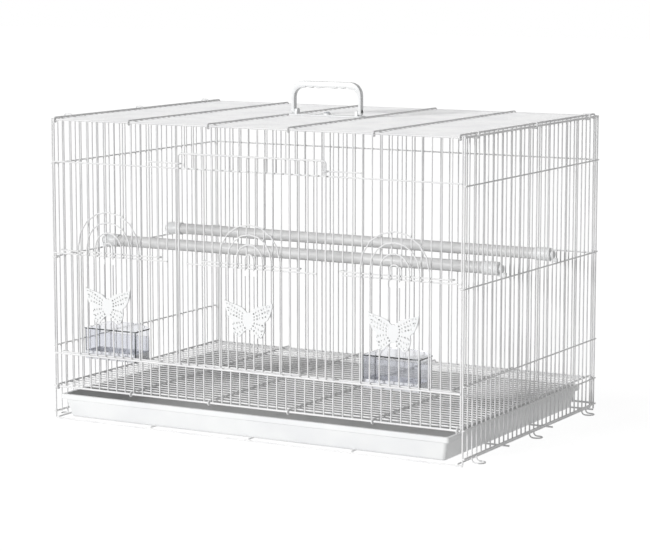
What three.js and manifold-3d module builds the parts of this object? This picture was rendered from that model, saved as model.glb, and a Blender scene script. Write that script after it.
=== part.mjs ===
// A wire bird cage for small birds: welded wire panels hooked together, three sliding arched doors,
// a large centre door, a pull-out tray, two perches, two clear feeders and a folding carry handle.
// Millimetres. X runs along the front, Y runs from the front (minus) to the back, Z is up.
// The floor is Z = 0 and the origin lies under the middle of the cage.

import * as THREE from 'three';
import { mergeVertices } from 'three/addons/utils/BufferGeometryUtils.js';
import Module from 'manifold-3d';

const wasm = await Module();
wasm.setup();

// Driving dimensions
const cageWide = 600; // between the middles of the end wires of the front
const cageDeep = 405; // between the wires of the front and of the back
const cageHigh = 402; // from the floor to the middle of the top wires
const frontGaps = 44;
const sideGaps = 31;
const fineWire = 2;
const railWire = 2.8;
const postExtra = 0.4; // how much thicker than a fine wire a frame wire is
const weldSink = 0.15; // how deep a frame wire and a wire across it are melted together
const railSink = 0.35; // the same for the thick rails
const playGap = 0.3; // air between pieces that touch or slide on each other

// Heights of the wires that run round the cage
const bottomWireZ = 10;
const grateWireZ = 45.3;
const railZ = 90.3;
const lowerWireZ = 99.6;
const middleWireZ = 219;
const headerZ = 225;
const upperSideWireZ = 343.4;
const upperFrontWireZ = 346.6;

const fineR = fineWire / 2;
const railR = railWire / 2;
const postR = (fineWire + postExtra) / 2;
const frontPitch = cageWide / frontGaps;
const sidePitch = cageDeep / sideGaps;
const wireSides = 4;

// Sum of two radii less the weld, so a frame wire of one layer is joined to the wires of the other.
// A fine wire ends a hair short of a fine wire that it crosses.
const fineLap = postR + fineR - weldSink;
const railLap = fineR + railR - railSink;

const frontX = (k) => -cageWide / 2 + k * frontPitch;

// Solids from three.js shapes

function toSolid(geometry) {
  const bare = geometry.clone();
  bare.deleteAttribute('normal');
  bare.deleteAttribute('uv');
  const merged = mergeVertices(bare);
  return new wasm.Manifold(new wasm.Mesh({
    numProp: 3,
    vertProperties: Float32Array.from(merged.attributes.position.array),
    triVerts: Uint32Array.from(merged.index.array),
  }));
}

function fuse(solids) {
  let row = solids;
  while (row.length > 1) {
    const joined = [];
    for (let i = 0; i < row.length; i += 2) {
      joined.push(i + 1 < row.length ? row[i].add(row[i + 1]) : row[i]);
    }
    row = joined;
  }
  return row[0];
}

function toGeometry(solid) {
  const mesh = solid.getMesh();
  const geometry = new THREE.BufferGeometry();
  geometry.setAttribute('position', new THREE.BufferAttribute(mesh.vertProperties, 3));
  geometry.setIndex(new THREE.BufferAttribute(mesh.triVerts, 1));
  geometry.computeVertexNormals();
  return geometry;
}

// A straight wire or pin along one of the axes
function rod(axis, from, to, a, b, radius, sides = wireSides) {
  const geometry = new THREE.CylinderGeometry(radius, radius, Math.abs(to - from), sides);
  const middle = (from + to) / 2;
  if (axis === 'x') {
    geometry.rotateZ(Math.PI / 2);
    geometry.translate(middle, a, b);
  } else if (axis === 'y') {
    geometry.translate(a, middle, b);
  } else {
    geometry.rotateX(Math.PI / 2);
    geometry.translate(a, b, middle);
  }
  return toSolid(geometry);
}

// A path through given corners, which keeps long straights as one step
class WirePath extends THREE.Curve {
  constructor(points) {
    super();
    this.points = points;
  }

  getPoint(share) {
    return this.points[Math.round(share * (this.points.length - 1))].clone();
  }

  getPointAt(share) {
    return this.getPoint(share);
  }

  getTangentAt(share) {
    const last = this.points.length - 1;
    const at = Math.round(share * last);
    const here = this.points[at];
    const back = this.points[Math.max(at - 1, 0)];
    const ahead = this.points[Math.min(at + 1, last)];
    const arriving = here.clone().sub(back).normalize();
    const leaving = ahead.clone().sub(here).normalize();
    return arriving.add(leaving).normalize();
  }
}

function bentWire(points, radius, sides = wireSides) {
  const section = new THREE.Shape();
  for (let i = 0; i < sides; i += 1) {
    const turn = (-2 * Math.PI * i) / sides;
    const x = radius * Math.cos(turn);
    const y = radius * Math.sin(turn);
    if (i === 0) section.moveTo(x, y);
    else section.lineTo(x, y);
  }
  section.closePath();
  const path = new WirePath(points);
  const options = { steps: points.length - 1, extrudePath: path };
  return toSolid(new THREE.ExtrudeGeometry(section, options));
}

// Points of an arc about a centre; place turns the arc's own x and y into a point
function arcPoints(radius, fromTurn, toTurn, steps, place) {
  const points = [];
  for (let i = 0; i <= steps; i += 1) {
    const turn = fromTurn + ((toTurn - fromTurn) * i) / steps;
    points.push(place(radius * Math.cos(turn), radius * Math.sin(turn)));
  }
  return points;
}

function block(x0, x1, y0, y1, z0, z1) {
  const geometry = new THREE.BoxGeometry(x1 - x0, y1 - y0, z1 - z0);
  geometry.translate((x0 + x1) / 2, (y0 + y1) / 2, (z0 + z1) / 2);
  return toSolid(geometry);
}

// A flat outline given in X and Z, made into a plate between two depths in Y
function plateXZ(shape, y0, y1, curveSegments) {
  const geometry = new THREE.ExtrudeGeometry(shape, { depth: y1 - y0, bevelEnabled: false, curveSegments });
  geometry.rotateX(Math.PI / 2);
  geometry.translate(0, y1, 0);
  return toSolid(geometry);
}

const cage = new THREE.Group();
const front = new THREE.Group();
front.position.y = -cageDeep / 2;
cage.add(front);

const coatedWire = { color: 0xf0f1f2, roughness: 0.38, metalness: 0 };
const whitePlastic = { color: 0xf3f4f5, roughness: 0.45, metalness: 0 };
const perchPlastic = { color: 0xdcdedf, roughness: 0.6, metalness: 0 };
const clearPlastic = { color: 0xe9eef0, roughness: 0.08, metalness: 0, transparent: true, opacity: 0.35 };
const platedSteel = { color: 0xc9cacb, roughness: 0.35, metalness: 1 };

function addPiece(group, name, solid, finish) {
  const mesh = new THREE.Mesh(toGeometry(solid), new THREE.MeshStandardMaterial(finish));
  mesh.name = name;
  group.add(mesh);
  return mesh;
}

// Front panel: fine uprights with the rails on their outer side, cut away behind the doors.
// In the front group Y = 0 is the plane of the uprights and minus Y is outside.

const sideOpening = { firstCut: 4, lastCut: 9 };
const centreOpening = { firstCut: 15, lastCut: 30 };
const leftHeaderEnd = 13;
const rightHeaderStart = 32;

// The large door hangs in front of the panel, clear of the roof hooks
const hookR = railR + playGap + postR;
const hookReach = hookR + fineR;
const doorY = -(hookReach + playGap + postR);

const doorWireCount = 18;
const doorPitch = 12.72;
const doorCentreX = frontPitch / 2;
const doorTopZ = 366;
const doorCornerR = 4;
const doorX = (i) => doorCentreX + (i - (doorWireCount - 1) / 2) * doorPitch;

const guideZ = 353;
const guideReach = 48;
const guideEyeR = fineR + postR + playGap + playGap;
const crossLap = fineR + fineR - weldSink;

function frontUprights() {
  const low = grateWireZ - railR;
  const solids = [];
  for (let k = 0; k <= frontGaps; k += 1) {
    const mirrored = Math.min(k, frontGaps - k);
    const radius = mirrored === 0 ? postR : fineR;
    const x = frontX(k);
    if (mirrored >= sideOpening.firstCut && mirrored <= sideOpening.lastCut) {
      solids.push(rod('z', low, railZ + railR, x, 0, radius));
      solids.push(rod('z', headerZ - fineR, cageHigh, x, 0, radius));
    } else if (k >= centreOpening.firstCut && k <= centreOpening.lastCut) {
      solids.push(rod('z', low, railZ + railR, x, 0, radius));
      solids.push(rod('z', upperFrontWireZ - fineR, cageHigh, x, 0, radius));
    } else {
      solids.push(rod('z', low, cageHigh, x, 0, radius));
    }
  }
  return solids;
}

// A short wire welded to the panel, with an eye round the large door's leg
function guideWire(side) {
  const legX = doorX(side < 0 ? 0 : doorWireCount - 1);
  const eyeSteps = 6;
  const place = (a, b) => new THREE.Vector3(legX - side * a, doorY + b, guideZ);
  const eye = arcPoints(guideEyeR, Math.PI / 2, -Math.PI, eyeSteps, place);
  const farX = legX + side * guideReach;
  const bendX = legX + side * 2 * guideEyeR;
  const start = new THREE.Vector3(farX, -crossLap, guideZ);
  const bend = new THREE.Vector3(bendX, -crossLap, guideZ);
  return bentWire([start, bend, ...eye], fineR);
}

function frontPanel() {
  const endX = cageWide / 2 + postR;
  const solids = frontUprights();
  solids.push(rod('x', -endX, endX, 0, cageHigh, railR));
  solids.push(rod('x', -endX, endX, -fineLap, upperFrontWireZ, fineR));
  solids.push(rod('x', -endX, endX, -railLap, railZ, railR));
  solids.push(rod('x', -endX, endX, -railLap, grateWireZ, railR));
  solids.push(rod('x', -endX, frontX(leftHeaderEnd) + fineR, -crossLap, headerZ, fineR));
  solids.push(rod('x', frontX(rightHeaderStart) - fineR, endX, -crossLap, headerZ, fineR));
  solids.push(guideWire(-1), guideWire(1));
  return fuse(solids);
}

addPiece(front, 'front_panel', frontPanel(), coatedWire);

// A door wire frame is carried by bars whose ends curl into eyes round two upright wires.
// The bar lies behind the door's own wires and slides up and down with them.
function barWithEyes(x0, x1, barY, z, wireY, radius) {
  const eyeR = Math.abs(barY - wireY);
  const eyeSteps = 6;
  const sweep = Math.PI * 1.5;
  const leftPlace = (a, b) => new THREE.Vector3(x0 - a, wireY - b, z);
  const rightPlace = (a, b) => new THREE.Vector3(x1 + a, wireY - b, z);
  const left = arcPoints(eyeR, Math.PI / 2 - sweep, Math.PI / 2, eyeSteps, leftPlace);
  const right = arcPoints(eyeR, Math.PI / 2, Math.PI / 2 - sweep, eyeSteps, rightPlace);
  return bentWire([...left, ...right], radius);
}

const doorBarY = doorY + crossLap;
const doorBarZ = railZ + railR + playGap + fineR;
const doorFrontBarY = doorY - crossLap;

// Large centre door: an upside-down U of frame wire, filled with fine wires, with its own arched opening
const doorCutFirst = 6;
const doorCutLast = 11;
const doorHeaderFirst = 1;
const doorHeaderLast = 16;
const doorEyeLeft = 14;
const doorEyeRight = 31;

function largeDoor() {
  const low = doorBarZ - fineR;
  const cornerZ = doorTopZ - doorCornerR;
  const cornerSteps = 3;
  const leftX = doorX(0);
  const rightX = doorX(doorWireCount - 1);
  const leftPlace = (a, b) => new THREE.Vector3(leftX + doorCornerR + a, doorY, cornerZ + b);
  const rightPlace = (a, b) => new THREE.Vector3(rightX - doorCornerR + a, doorY, cornerZ + b);
  const frame = [
    new THREE.Vector3(leftX, doorY, low),
    ...arcPoints(doorCornerR, Math.PI, Math.PI / 2, cornerSteps, leftPlace),
    ...arcPoints(doorCornerR, Math.PI / 2, 0, cornerSteps, rightPlace),
    new THREE.Vector3(rightX, doorY, low),
  ];
  const solids = [bentWire(frame, postR)];
  for (let i = 1; i < doorWireCount - 1; i += 1) {
    const cut = i >= doorCutFirst && i <= doorCutLast;
    solids.push(rod('z', cut ? headerZ - fineR : low, doorTopZ, doorX(i), doorY, fineR));
  }
  const headerX0 = doorX(doorHeaderFirst) - fineR;
  const headerX1 = doorX(doorHeaderLast) + fineR;
  solids.push(rod('x', headerX0, headerX1, doorFrontBarY, headerZ, fineR));
  solids.push(barWithEyes(frontX(doorEyeLeft), frontX(doorEyeRight), doorBarY, doorBarZ, 0, fineR));
  return fuse(solids);
}

addPiece(front, 'large_door', largeDoor(), coatedWire);

// Arched doors: four nested arches on eight legs, with a bar at the springing and one at the foot
const archLegs = 4;
const archCentreZ = 236.5;
const archBarZ = 229.5;
const catchGap = 7;
const archSteps = 8;

function archDoor(centreX, pitch, wiresY, barY, footZ, eyeX0, eyeX1, eyeY) {
  const low = footZ - fineR;
  const solids = [];
  for (let n = 0; n < archLegs; n += 1) {
    const radius = (n + 1 / 2) * pitch;
    const legLow = n === 0 ? archBarZ - catchGap : low;
    const place = (a, b) => new THREE.Vector3(centreX + a, wiresY, archCentreZ + b);
    const arch = [
      new THREE.Vector3(centreX - radius, wiresY, legLow),
      ...arcPoints(radius, Math.PI, 0, archSteps, place),
      new THREE.Vector3(centreX + radius, wiresY, legLow),
    ];
    solids.push(bentWire(arch, fineR));
  }
  // The two middle legs start again below the catch loop
  for (const side of [-1, 1]) {
    const x = centreX + (side * pitch) / 2;
    solids.push(rod('z', low, archBarZ - 2 * catchGap, x, wiresY, fineR));
  }
  solids.push(barWithEyes(eyeX0, eyeX1, barY, archBarZ, eyeY, fineR));
  solids.push(barWithEyes(eyeX0, eyeX1, barY, footZ, eyeY, fineR));
  return fuse(solids);
}

const sideDoorMiddle = 6.5;
const sideEyeInner = 12;
const sideEyeOuter = 1;

function sideArchDoor(side) {
  const k = side < 0 ? sideDoorMiddle : frontGaps - sideDoorMiddle;
  const inner = side < 0 ? sideEyeInner : frontGaps - sideEyeInner;
  const outer = side < 0 ? sideEyeOuter : frontGaps - sideEyeOuter;
  const x0 = frontX(Math.min(inner, outer));
  const x1 = frontX(Math.max(inner, outer));
  return archDoor(frontX(k), frontPitch, doorY, doorBarY, doorBarZ, x0, x1, 0);
}

addPiece(front, 'left_arch_door', sideArchDoor(-1), coatedWire);
addPiece(front, 'right_arch_door', sideArchDoor(1), coatedWire);

// The centre arched door rides on the large door, one layer further out
const centreEyeLeft = 3;
const centreEyeRight = 14;
const centreBarY = doorY - (fineR + playGap + fineR);
const centreWiresY = Math.min(centreBarY - crossLap, doorFrontBarY - fineR - playGap - fineR);
const centreBarSeatY = centreWiresY + crossLap;
const centreFootZ = doorBarZ + fineR + playGap + fineR;

addPiece(front, 'centre_arch_door', archDoor(
  doorCentreX, doorPitch, centreWiresY, centreBarSeatY, centreFootZ,
  doorX(centreEyeLeft), doorX(centreEyeRight), doorY,
), coatedWire);

// Butterflies: thin perforated plastic plates clipped to the front of the arched doors
const butterflyWide = 72;
const butterflyTall = 47;
const butterflyThick = 2;
const butterflyZ = 160;
const slitWide = 1.2;

// Outline of the right half, in shares of half the width and of the height: each row is a curve's
// two handles and its end
const wingStartShare = [0.05, 0.2];
const wingCurveShares = [
  [0.25, 0.42, 0.62, 0.38, 0.99, 0.5],
  [0.97, 0.3, 0.86, 0.02, 0.66, -0.04],
  [0.72, -0.22, 0.62, -0.44, 0.46, -0.49],
  [0.34, -0.52, 0.2, -0.3, 0.06, -0.26],
];
// Slits: the turn from level in shares of a half turn, then the two ends in shares of half the width
const slitShares = [
  [0.17, 0.22, 0.5], [0.08, 0.24, 0.8], [0.19, 0.58, 0.82], [-0.24, 0.2, 0.56], [-0.12, 0.24, 0.56],
];

function slit(side, turnShare, fromShare, toShare) {
  const turn = turnShare * Math.PI;
  const half = butterflyWide / 2;
  const along = new THREE.Vector2(side * Math.cos(turn), Math.sin(turn));
  const across = new THREE.Vector2(-along.y, along.x).multiplyScalar(slitWide / 2);
  const near = along.clone().multiplyScalar(fromShare * half);
  const far = along.clone().multiplyScalar(toShare * half);
  const points = [near.clone().sub(across), far.clone().sub(across)];
  points.push(far.clone().add(across), near.clone().add(across));
  return new THREE.Path(points);
}

function butterflyShape() {
  const half = butterflyWide / 2;
  const at = (side, x, y) => [side * x * half, y * butterflyTall];
  const shape = new THREE.Shape();
  shape.moveTo(...at(1, ...wingStartShare));
  for (const [a, b, c, d, e, f] of wingCurveShares) {
    shape.bezierCurveTo(...at(1, a, b), ...at(1, c, d), ...at(1, e, f));
  }
  // The left half is the same curves, mirrored and run backwards
  const ends = [wingStartShare, ...wingCurveShares.map((row) => row.slice(4))];
  shape.lineTo(...at(-1, ...ends[ends.length - 1]));
  for (let i = wingCurveShares.length - 1; i >= 0; i -= 1) {
    const [a, b, c, d] = wingCurveShares[i];
    shape.bezierCurveTo(...at(-1, c, d), ...at(-1, a, b), ...at(-1, ...ends[i]));
  }
  for (const side of [-1, 1]) {
    for (const row of slitShares) shape.holes.push(slit(side, ...row));
  }
  return shape;
}

function butterfly(x, wiresY) {
  const curveSegments = 5;
  const back = wiresY - fineR - playGap;
  const solid = plateXZ(butterflyShape(), back - butterflyThick, back, curveSegments);
  return solid.translate([x, 0, butterflyZ]);
}

addPiece(front, 'left_butterfly', butterfly(frontX(sideDoorMiddle), doorY), whitePlastic);
addPiece(front, 'right_butterfly', butterfly(frontX(frontGaps - sideDoorMiddle), doorY), whitePlastic);
addPiece(front, 'centre_butterfly', butterfly(doorCentreX, centreWiresY), whitePlastic);

// Back panel: the same pitch as the front, with nothing cut away. Turned half round behind the cage.
const back = new THREE.Group();
back.position.y = cageDeep / 2;
back.rotation.z = Math.PI;
cage.add(back);

// The back's middle crosswire runs just below the hooks of the side panels' middle wires
const backMiddleWireZ = middleWireZ - 2 * fineR - playGap;

function backPanel() {
  const endX = cageWide / 2 + postR;
  const solids = [];
  for (let k = 0; k <= frontGaps; k += 1) {
    const radius = k === 0 || k === frontGaps ? postR : fineR;
    solids.push(rod('z', bottomWireZ - railR, cageHigh, frontX(k), 0, radius));
  }
  solids.push(rod('x', -endX, endX, 0, cageHigh, railR));
  for (const z of [upperSideWireZ, backMiddleWireZ, grateWireZ]) {
    solids.push(rod('x', -endX, endX, -fineLap, z, fineR));
  }
  solids.push(rod('x', -endX, endX, -railLap, bottomWireZ, railR));
  return fuse(solids);
}

addPiece(back, 'back_panel', backPanel(), coatedWire);

// Side panels: three pairs of uprights on each run on below the bottom wire and turn out as feet.
// The middle wire's ends hook round the end wires of the front and of the back.
const postGap = 0.6; // between a side panel's end wires and the front's
const sideOffset = postR + postGap + postR;
const baseWire = 2.4;
const baseR = baseWire / 2;
const footStarts = [2, 15, 28];
const footReach = 8;
const footBend = 5;

function footPath(y0, y1) {
  const bendSteps = 3;
  const tipSteps = 4;
  const tipR = (y1 - y0) / 2;
  const bendZ = fineR + footBend;
  const bend = (y) => (a, b) => new THREE.Vector3(y, -footBend + a, bendZ + b);
  const tip = (a, b) => new THREE.Vector3((y0 + y1) / 2 + b, -footReach - a, fineR);
  return [
    new THREE.Vector3(y0, 0, cageHigh),
    ...arcPoints(footBend, 0, -Math.PI / 2, bendSteps, bend(y0)),
    ...arcPoints(tipR, -Math.PI / 2, Math.PI / 2, tipSteps, tip),
    ...arcPoints(footBend, -Math.PI / 2, 0, bendSteps, bend(y1)),
    new THREE.Vector3(y1, 0, cageHigh),
  ];
}

// The middle wire with a hook at each end, round the side's own post and the front's
function hookedMiddleWire(endX) {
  const hookBack = sideOffset + postR + playGap + fineR;
  const hookFront = postR + playGap + fineR + playGap;
  const slope = hookFront / 2;
  const half = (side) => [
    new THREE.Vector3(side * endX, -fineLap, middleWireZ),
    new THREE.Vector3(side * (endX + hookFront), -fineLap + slope, middleWireZ),
    new THREE.Vector3(side * (endX + hookFront), hookBack - slope, middleWireZ),
    new THREE.Vector3(side * (endX + slope), hookBack, middleWireZ),
    new THREE.Vector3(side * (endX - slope), hookBack, middleWireZ),
  ];
  return bentWire([...half(-1).reverse(), ...half(1)], fineR);
}

function sidePanel() {
  const half = cageDeep / 2;
  const endX = half + postR;
  const sideX = (j) => -half + j * sidePitch;
  const low = bottomWireZ - railR;
  const postLow = baseWire + playGap;
  const solids = [];
  for (let j = 0; j <= sideGaps; j += 1) {
    const isPost = j === 0 || j === sideGaps;
    if (footStarts.includes(j)) {
      solids.push(bentWire(footPath(sideX(j), sideX(j + 1)), fineR));
    } else if (!footStarts.includes(j - 1)) {
      solids.push(rod('z', isPost ? postLow : low, cageHigh, sideX(j), 0, isPost ? postR : fineR));
    }
  }
  solids.push(rod('x', -endX, endX, 0, cageHigh, railR));
  for (const z of [upperSideWireZ, lowerWireZ]) {
    solids.push(rod('x', -endX, endX, -fineLap, z, fineR));
  }
  solids.push(rod('x', -endX, endX, -fineLap, grateWireZ, fineR));
  solids.push(hookedMiddleWire(half));
  solids.push(rod('x', -endX, endX, -railLap, bottomWireZ, railR));
  return fuse(solids);
}

for (const side of [-1, 1]) {
  const panel = new THREE.Group();
  panel.position.x = side * (cageWide / 2 + sideOffset);
  panel.rotation.z = (side * Math.PI) / 2;
  cage.add(panel);
  addPiece(panel, side < 0 ? 'left_side_panel' : 'right_side_panel', sidePanel(), coatedWire);
}

// Roof and floor grate: wires along the cage under cross wires, whose ends hook over the top or the
// bottom wire of the front and of the back
const crossInset = 3;
const crossInnerShare = 0.0983;
const crossOuterShare = 0.3;
const crossInnerX = crossInnerShare * cageWide;
const crossOuterX = crossOuterShare * cageWide;
const crossEdgeX = cageWide / 2 - crossInset;
const crossXs = [-crossEdgeX, -crossOuterX, -crossInnerX, crossInnerX, crossOuterX, crossEdgeX];

function hookedCrossWire(x, radius, frontWire, backWire) {
  const hookSteps = 5;
  const sweep = Math.PI * 1.2;
  const frontPlace = (a, b) => new THREE.Vector3(x, frontWire.y - a, frontWire.z + b);
  const backPlace = (a, b) => new THREE.Vector3(x, backWire.y + a, backWire.z + b);
  const top = Math.PI / 2;
  return bentWire([
    ...arcPoints(hookR, top - sweep, top, hookSteps, frontPlace),
    ...arcPoints(hookR, top, top - sweep, hookSteps, backPlace),
  ], radius);
}

function hookedGrid(frontWire, backWire, endX) {
  const solids = [];
  for (const x of crossXs) {
    const radius = Math.abs(x) === crossEdgeX ? postR : fineR;
    solids.push(hookedCrossWire(x, radius, frontWire, backWire));
  }
  const crossZ = frontWire.z + hookR;
  for (let j = 1; j < sideGaps; j += 1) {
    const radius = j === 1 || j === sideGaps - 1 ? postR : fineR;
    const y = -cageDeep / 2 + j * sidePitch;
    solids.push(rod('x', -endX, endX, y, crossZ - fineLap, radius));
  }
  return fuse(solids);
}

const gridEndX = crossEdgeX + postR;
const topFrontWire = { y: -cageDeep / 2, z: cageHigh };
const topBackWire = { y: cageDeep / 2, z: cageHigh };
addPiece(cage, 'roof_panel', hookedGrid(topFrontWire, topBackWire, gridEndX), coatedWire);

const grateFrontWire = { y: -cageDeep / 2 - railLap, z: grateWireZ };
const grateBackWire = { y: cageDeep / 2 + fineLap, z: grateWireZ };
addPiece(cage, 'floor_grate', hookedGrid(grateFrontWire, grateBackWire, gridEndX), coatedWire);

// Roof clips: C rings that tie the roof's edge wires to the side panels' top wires
const clipWire = 1.6;
const clipR = clipWire / 2;
const clipShares = [-0.42, 0, 0.42]; // places along the depth of the cage

function roofClip(side, y) {
  const innerX = crossEdgeX - postR - playGap - clipR;
  const outerX = cageWide / 2 + sideOffset + railR + playGap + clipR;
  const topZ = cageHigh + hookR + postR + playGap + clipR;
  const lowZ = cageHigh - railR - playGap - clipR;
  const lipX = (innerX + outerX) / 2 - clipR - playGap;
  const bend = 2 * clipR;
  const corners = [
    [lipX, lowZ], [innerX + bend, lowZ], [innerX, lowZ + bend], [innerX, topZ - bend],
    [innerX + bend, topZ], [outerX - bend, topZ], [outerX, topZ - bend], [outerX, lowZ + bend],
    [outerX - bend, lowZ], [lipX + 2 * (clipR + playGap), lowZ],
  ];
  return bentWire(corners.map(([x, z]) => new THREE.Vector3(side * x, y, z)), clipR);
}

const clipPlaces = ['front', 'middle', 'rear'];
for (const side of [-1, 1]) {
  clipShares.forEach((share, i) => {
    const name = `${side < 0 ? 'left' : 'right'}_${clipPlaces[i]}_roof_clip`;
    addPiece(cage, name, roofClip(side, Math.round(share * sideGaps) * sidePitch), coatedWire);
  });
}

// Base rack under the tray: cross rails that stand on the floor, and runners lying on them
const railTip = 3;
const rackEndX = cageWide / 2 + railTip;
const rackRails = 4;
const rackRunners = 5;

for (let i = 0; i < rackRails; i += 1) {
  const y = -cageDeep / 2 + (i * cageDeep) / (rackRails - 1);
  const rail = block(-rackEndX, rackEndX, y - baseR, y + baseR, 0, baseWire);
  addPiece(cage, `base_cross_rail_${i + 1}`, rail, coatedWire);
}
const runnerZ = baseWire + playGap + baseR;
for (let i = 0; i < rackRunners; i += 1) {
  const x = -cageWide / 2 + (i * cageWide) / (rackRunners - 1);
  // The outer runners stop short of the side panels' posts
  const outer = i === 0 || i === rackRunners - 1;
  const inset = outer ? baseR + postR + playGap : 0;
  const shift = outer ? -Math.sign(x) * inset : 0;
  const endY = cageDeep / 2 + railTip;
  addPiece(cage, `base_runner_${i + 1}`, rod('y', -endY, endY, x + shift, runnerZ, baseR), coatedWire);
}

// Tray: a shallow moulded pan with sloping walls and a turned-down rim. It slides out to the front.
const trayLeftGap = 7;
const trayRightGap = 14;
const trayFrontReach = 3.5;
const trayBackGap = 5.5;
const trayHalfWide = (cageWide - trayLeftGap - trayRightGap) / 2;
const trayMiddleX = (trayLeftGap - trayRightGap) / 2;
const trayFrontY = -cageDeep / 2 - trayFrontReach;
const trayBackY = cageDeep / 2 - trayBackGap;
const trayRimZ = 35.5;
const trayLip = 7;
const trayWall = 2;
const trayRimOut = 5;
const trayTaper = 6;
const trayCornerR = 9;
const overrun = 1;

function roundedRect(halfX, halfY, radius) {
  const shape = new THREE.Shape();
  shape.moveTo(halfX, -halfY + radius);
  shape.absarc(halfX - radius, halfY - radius, radius, 0, Math.PI / 2, false);
  shape.absarc(-halfX + radius, halfY - radius, radius, Math.PI / 2, Math.PI, false);
  shape.absarc(-halfX + radius, -halfY + radius, radius, Math.PI, Math.PI * 1.5, false);
  shape.absarc(halfX - radius, -halfY + radius, radius, Math.PI * 1.5, Math.PI * 2, false);
  return shape;
}

// A rounded block that is narrower at its foot by taper on every side
function taperedBlock(halfX, halfY, radius, z0, z1, taper) {
  const curveSegments = 3;
  const shape = roundedRect(halfX, halfY, radius);
  const geometry = new THREE.ExtrudeGeometry(shape, { depth: z1 - z0, bevelEnabled: false, curveSegments });
  const place = geometry.attributes.position;
  for (let i = 0; i < place.count; i += 1) {
    const lower = 1 - place.getZ(i) / (z1 - z0);
    place.setX(i, place.getX(i) * (1 - (lower * taper) / halfX));
    place.setY(i, place.getY(i) * (1 - (lower * taper) / halfY));
  }
  geometry.translate(0, 0, z0);
  return toSolid(geometry);
}

function tray() {
  const halfX = trayHalfWide;
  const halfY = (trayBackY - trayFrontY) / 2;
  const low = runnerZ + baseR + playGap;
  const panX = halfX - trayRimOut;
  const panY = halfY - trayRimOut;
  const lipZ = trayRimZ - trayLip;
  const rim = taperedBlock(halfX, halfY, trayCornerR, lipZ, trayRimZ, 0);
  const underRim = taperedBlock(
    halfX - trayWall, halfY - trayWall, trayCornerR - trayWall, lipZ - overrun, trayRimZ - trayWall, 0,
  );
  const pan = taperedBlock(panX, panY, trayCornerR - trayRimOut, low, trayRimZ - trayWall / 2, trayTaper);
  const inside = taperedBlock(
    panX - trayWall, panY - trayWall, trayCornerR - trayRimOut - trayWall,
    low + trayWall, trayRimZ + overrun, trayTaper,
  );
  const body = rim.subtract(underRim).add(pan).subtract(inside);
  return body.translate([trayMiddleX, (trayBackY + trayFrontY) / 2, 0]);
}

addPiece(cage, 'tray', tray(), whitePlastic);

// Perches: plastic rods in end caps. A lug on each cap passes between two uprights and rests on the
// side panel's middle wire.
const perchR = 7.6;
const perchZ = 230;
const perchPlaces = { front: 8.71, rear: 20.71 }; // in gaps of the side panel, from the front
const capR = 8.7;
const capLong = 22;
const nubR = 5;
const nubLong = 4.8;
const capWall = 2.5;
const capSocket = 0.2;
const lugWide = 3.6;
const lugTall = 5;
const roundSides = 12;

const sidePlaneX = cageWide / 2 + sideOffset;
const capEndX = sidePlaneX - fineR - postExtra - playGap;
const sleeveEndX = capEndX - nubLong;
const lugEndX = sidePlaneX + fineLap + fineR + playGap;

function perchCap(side, y) {
  const x0 = side * (sleeveEndX - capLong);
  const x1 = side * sleeveEndX;
  const socketX = side * (sleeveEndX - capWall);
  const sleeve = rod('x', x0, x1, y, perchZ, capR, roundSides);
  const nub = rod('x', side * (sleeveEndX - capWall / 2), side * capEndX, y, perchZ, nubR, roundSides);
  const bore = rod('x', x0 - side * overrun, socketX, y, perchZ, perchR + capSocket, roundSides);
  const lugZ = middleWireZ + fineR + playGap;
  const lugFrom = side * (sleeveEndX - capWall / 2);
  const lugTo = side * lugEndX;
  const lug = block(
    Math.min(lugFrom, lugTo), Math.max(lugFrom, lugTo), y - lugWide / 2, y + lugWide / 2, lugZ, lugZ + lugTall,
  );
  return sleeve.add(nub).subtract(bore).add(lug);
}

for (const [place, gaps] of Object.entries(perchPlaces)) {
  const y = -cageDeep / 2 + gaps * sidePitch;
  const endX = sleeveEndX - capWall - playGap;
  addPiece(cage, `${place}_perch_rod`, rod('x', -endX, endX, y, perchZ, perchR, roundSides), perchPlastic);
  addPiece(cage, `${place}_perch_left_cap`, perchCap(-1, y), whitePlastic);
  addPiece(cage, `${place}_perch_right_cap`, perchCap(1, y), whitePlastic);
}

// Feeders: clear cups that hang by a lip on the lower rail inside the side doors, each with a clear
// hood that is open to the back
const leftFeederInset = 3.2; // from the upright left of the left opening
const rightFeederLap = 0.8; // over the upright left of the right opening
const feederWide = 81.2;
const feederUnderRail = 4.3;
const feederTall = 40;
const feederBackDrop = 9;
const feederDeep = 34;
const feederWall = 1.6;
const lipThick = 2;
const hoodRise = 11;
const hoodFootGap = playGap;
const hoodOpenShare = 0.28;

// Both feeders stand towards the left end of their opening, beside the upright there
const feederPlaces = {
  left: { postX: frontX(sideOpening.firstCut - 1), shift: leftFeederInset },
  right: { postX: frontX(frontGaps - sideOpening.lastCut - 1), shift: -rightFeederLap },
};
const feederLowZ = railZ - feederUnderRail;
const feederFrontTopZ = feederLowZ + feederTall;
const feederBackTopZ = feederFrontTopZ - feederBackDrop;
const feederFrontY = fineR + playGap;
const feederBackY = feederFrontY + feederDeep;

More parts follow.
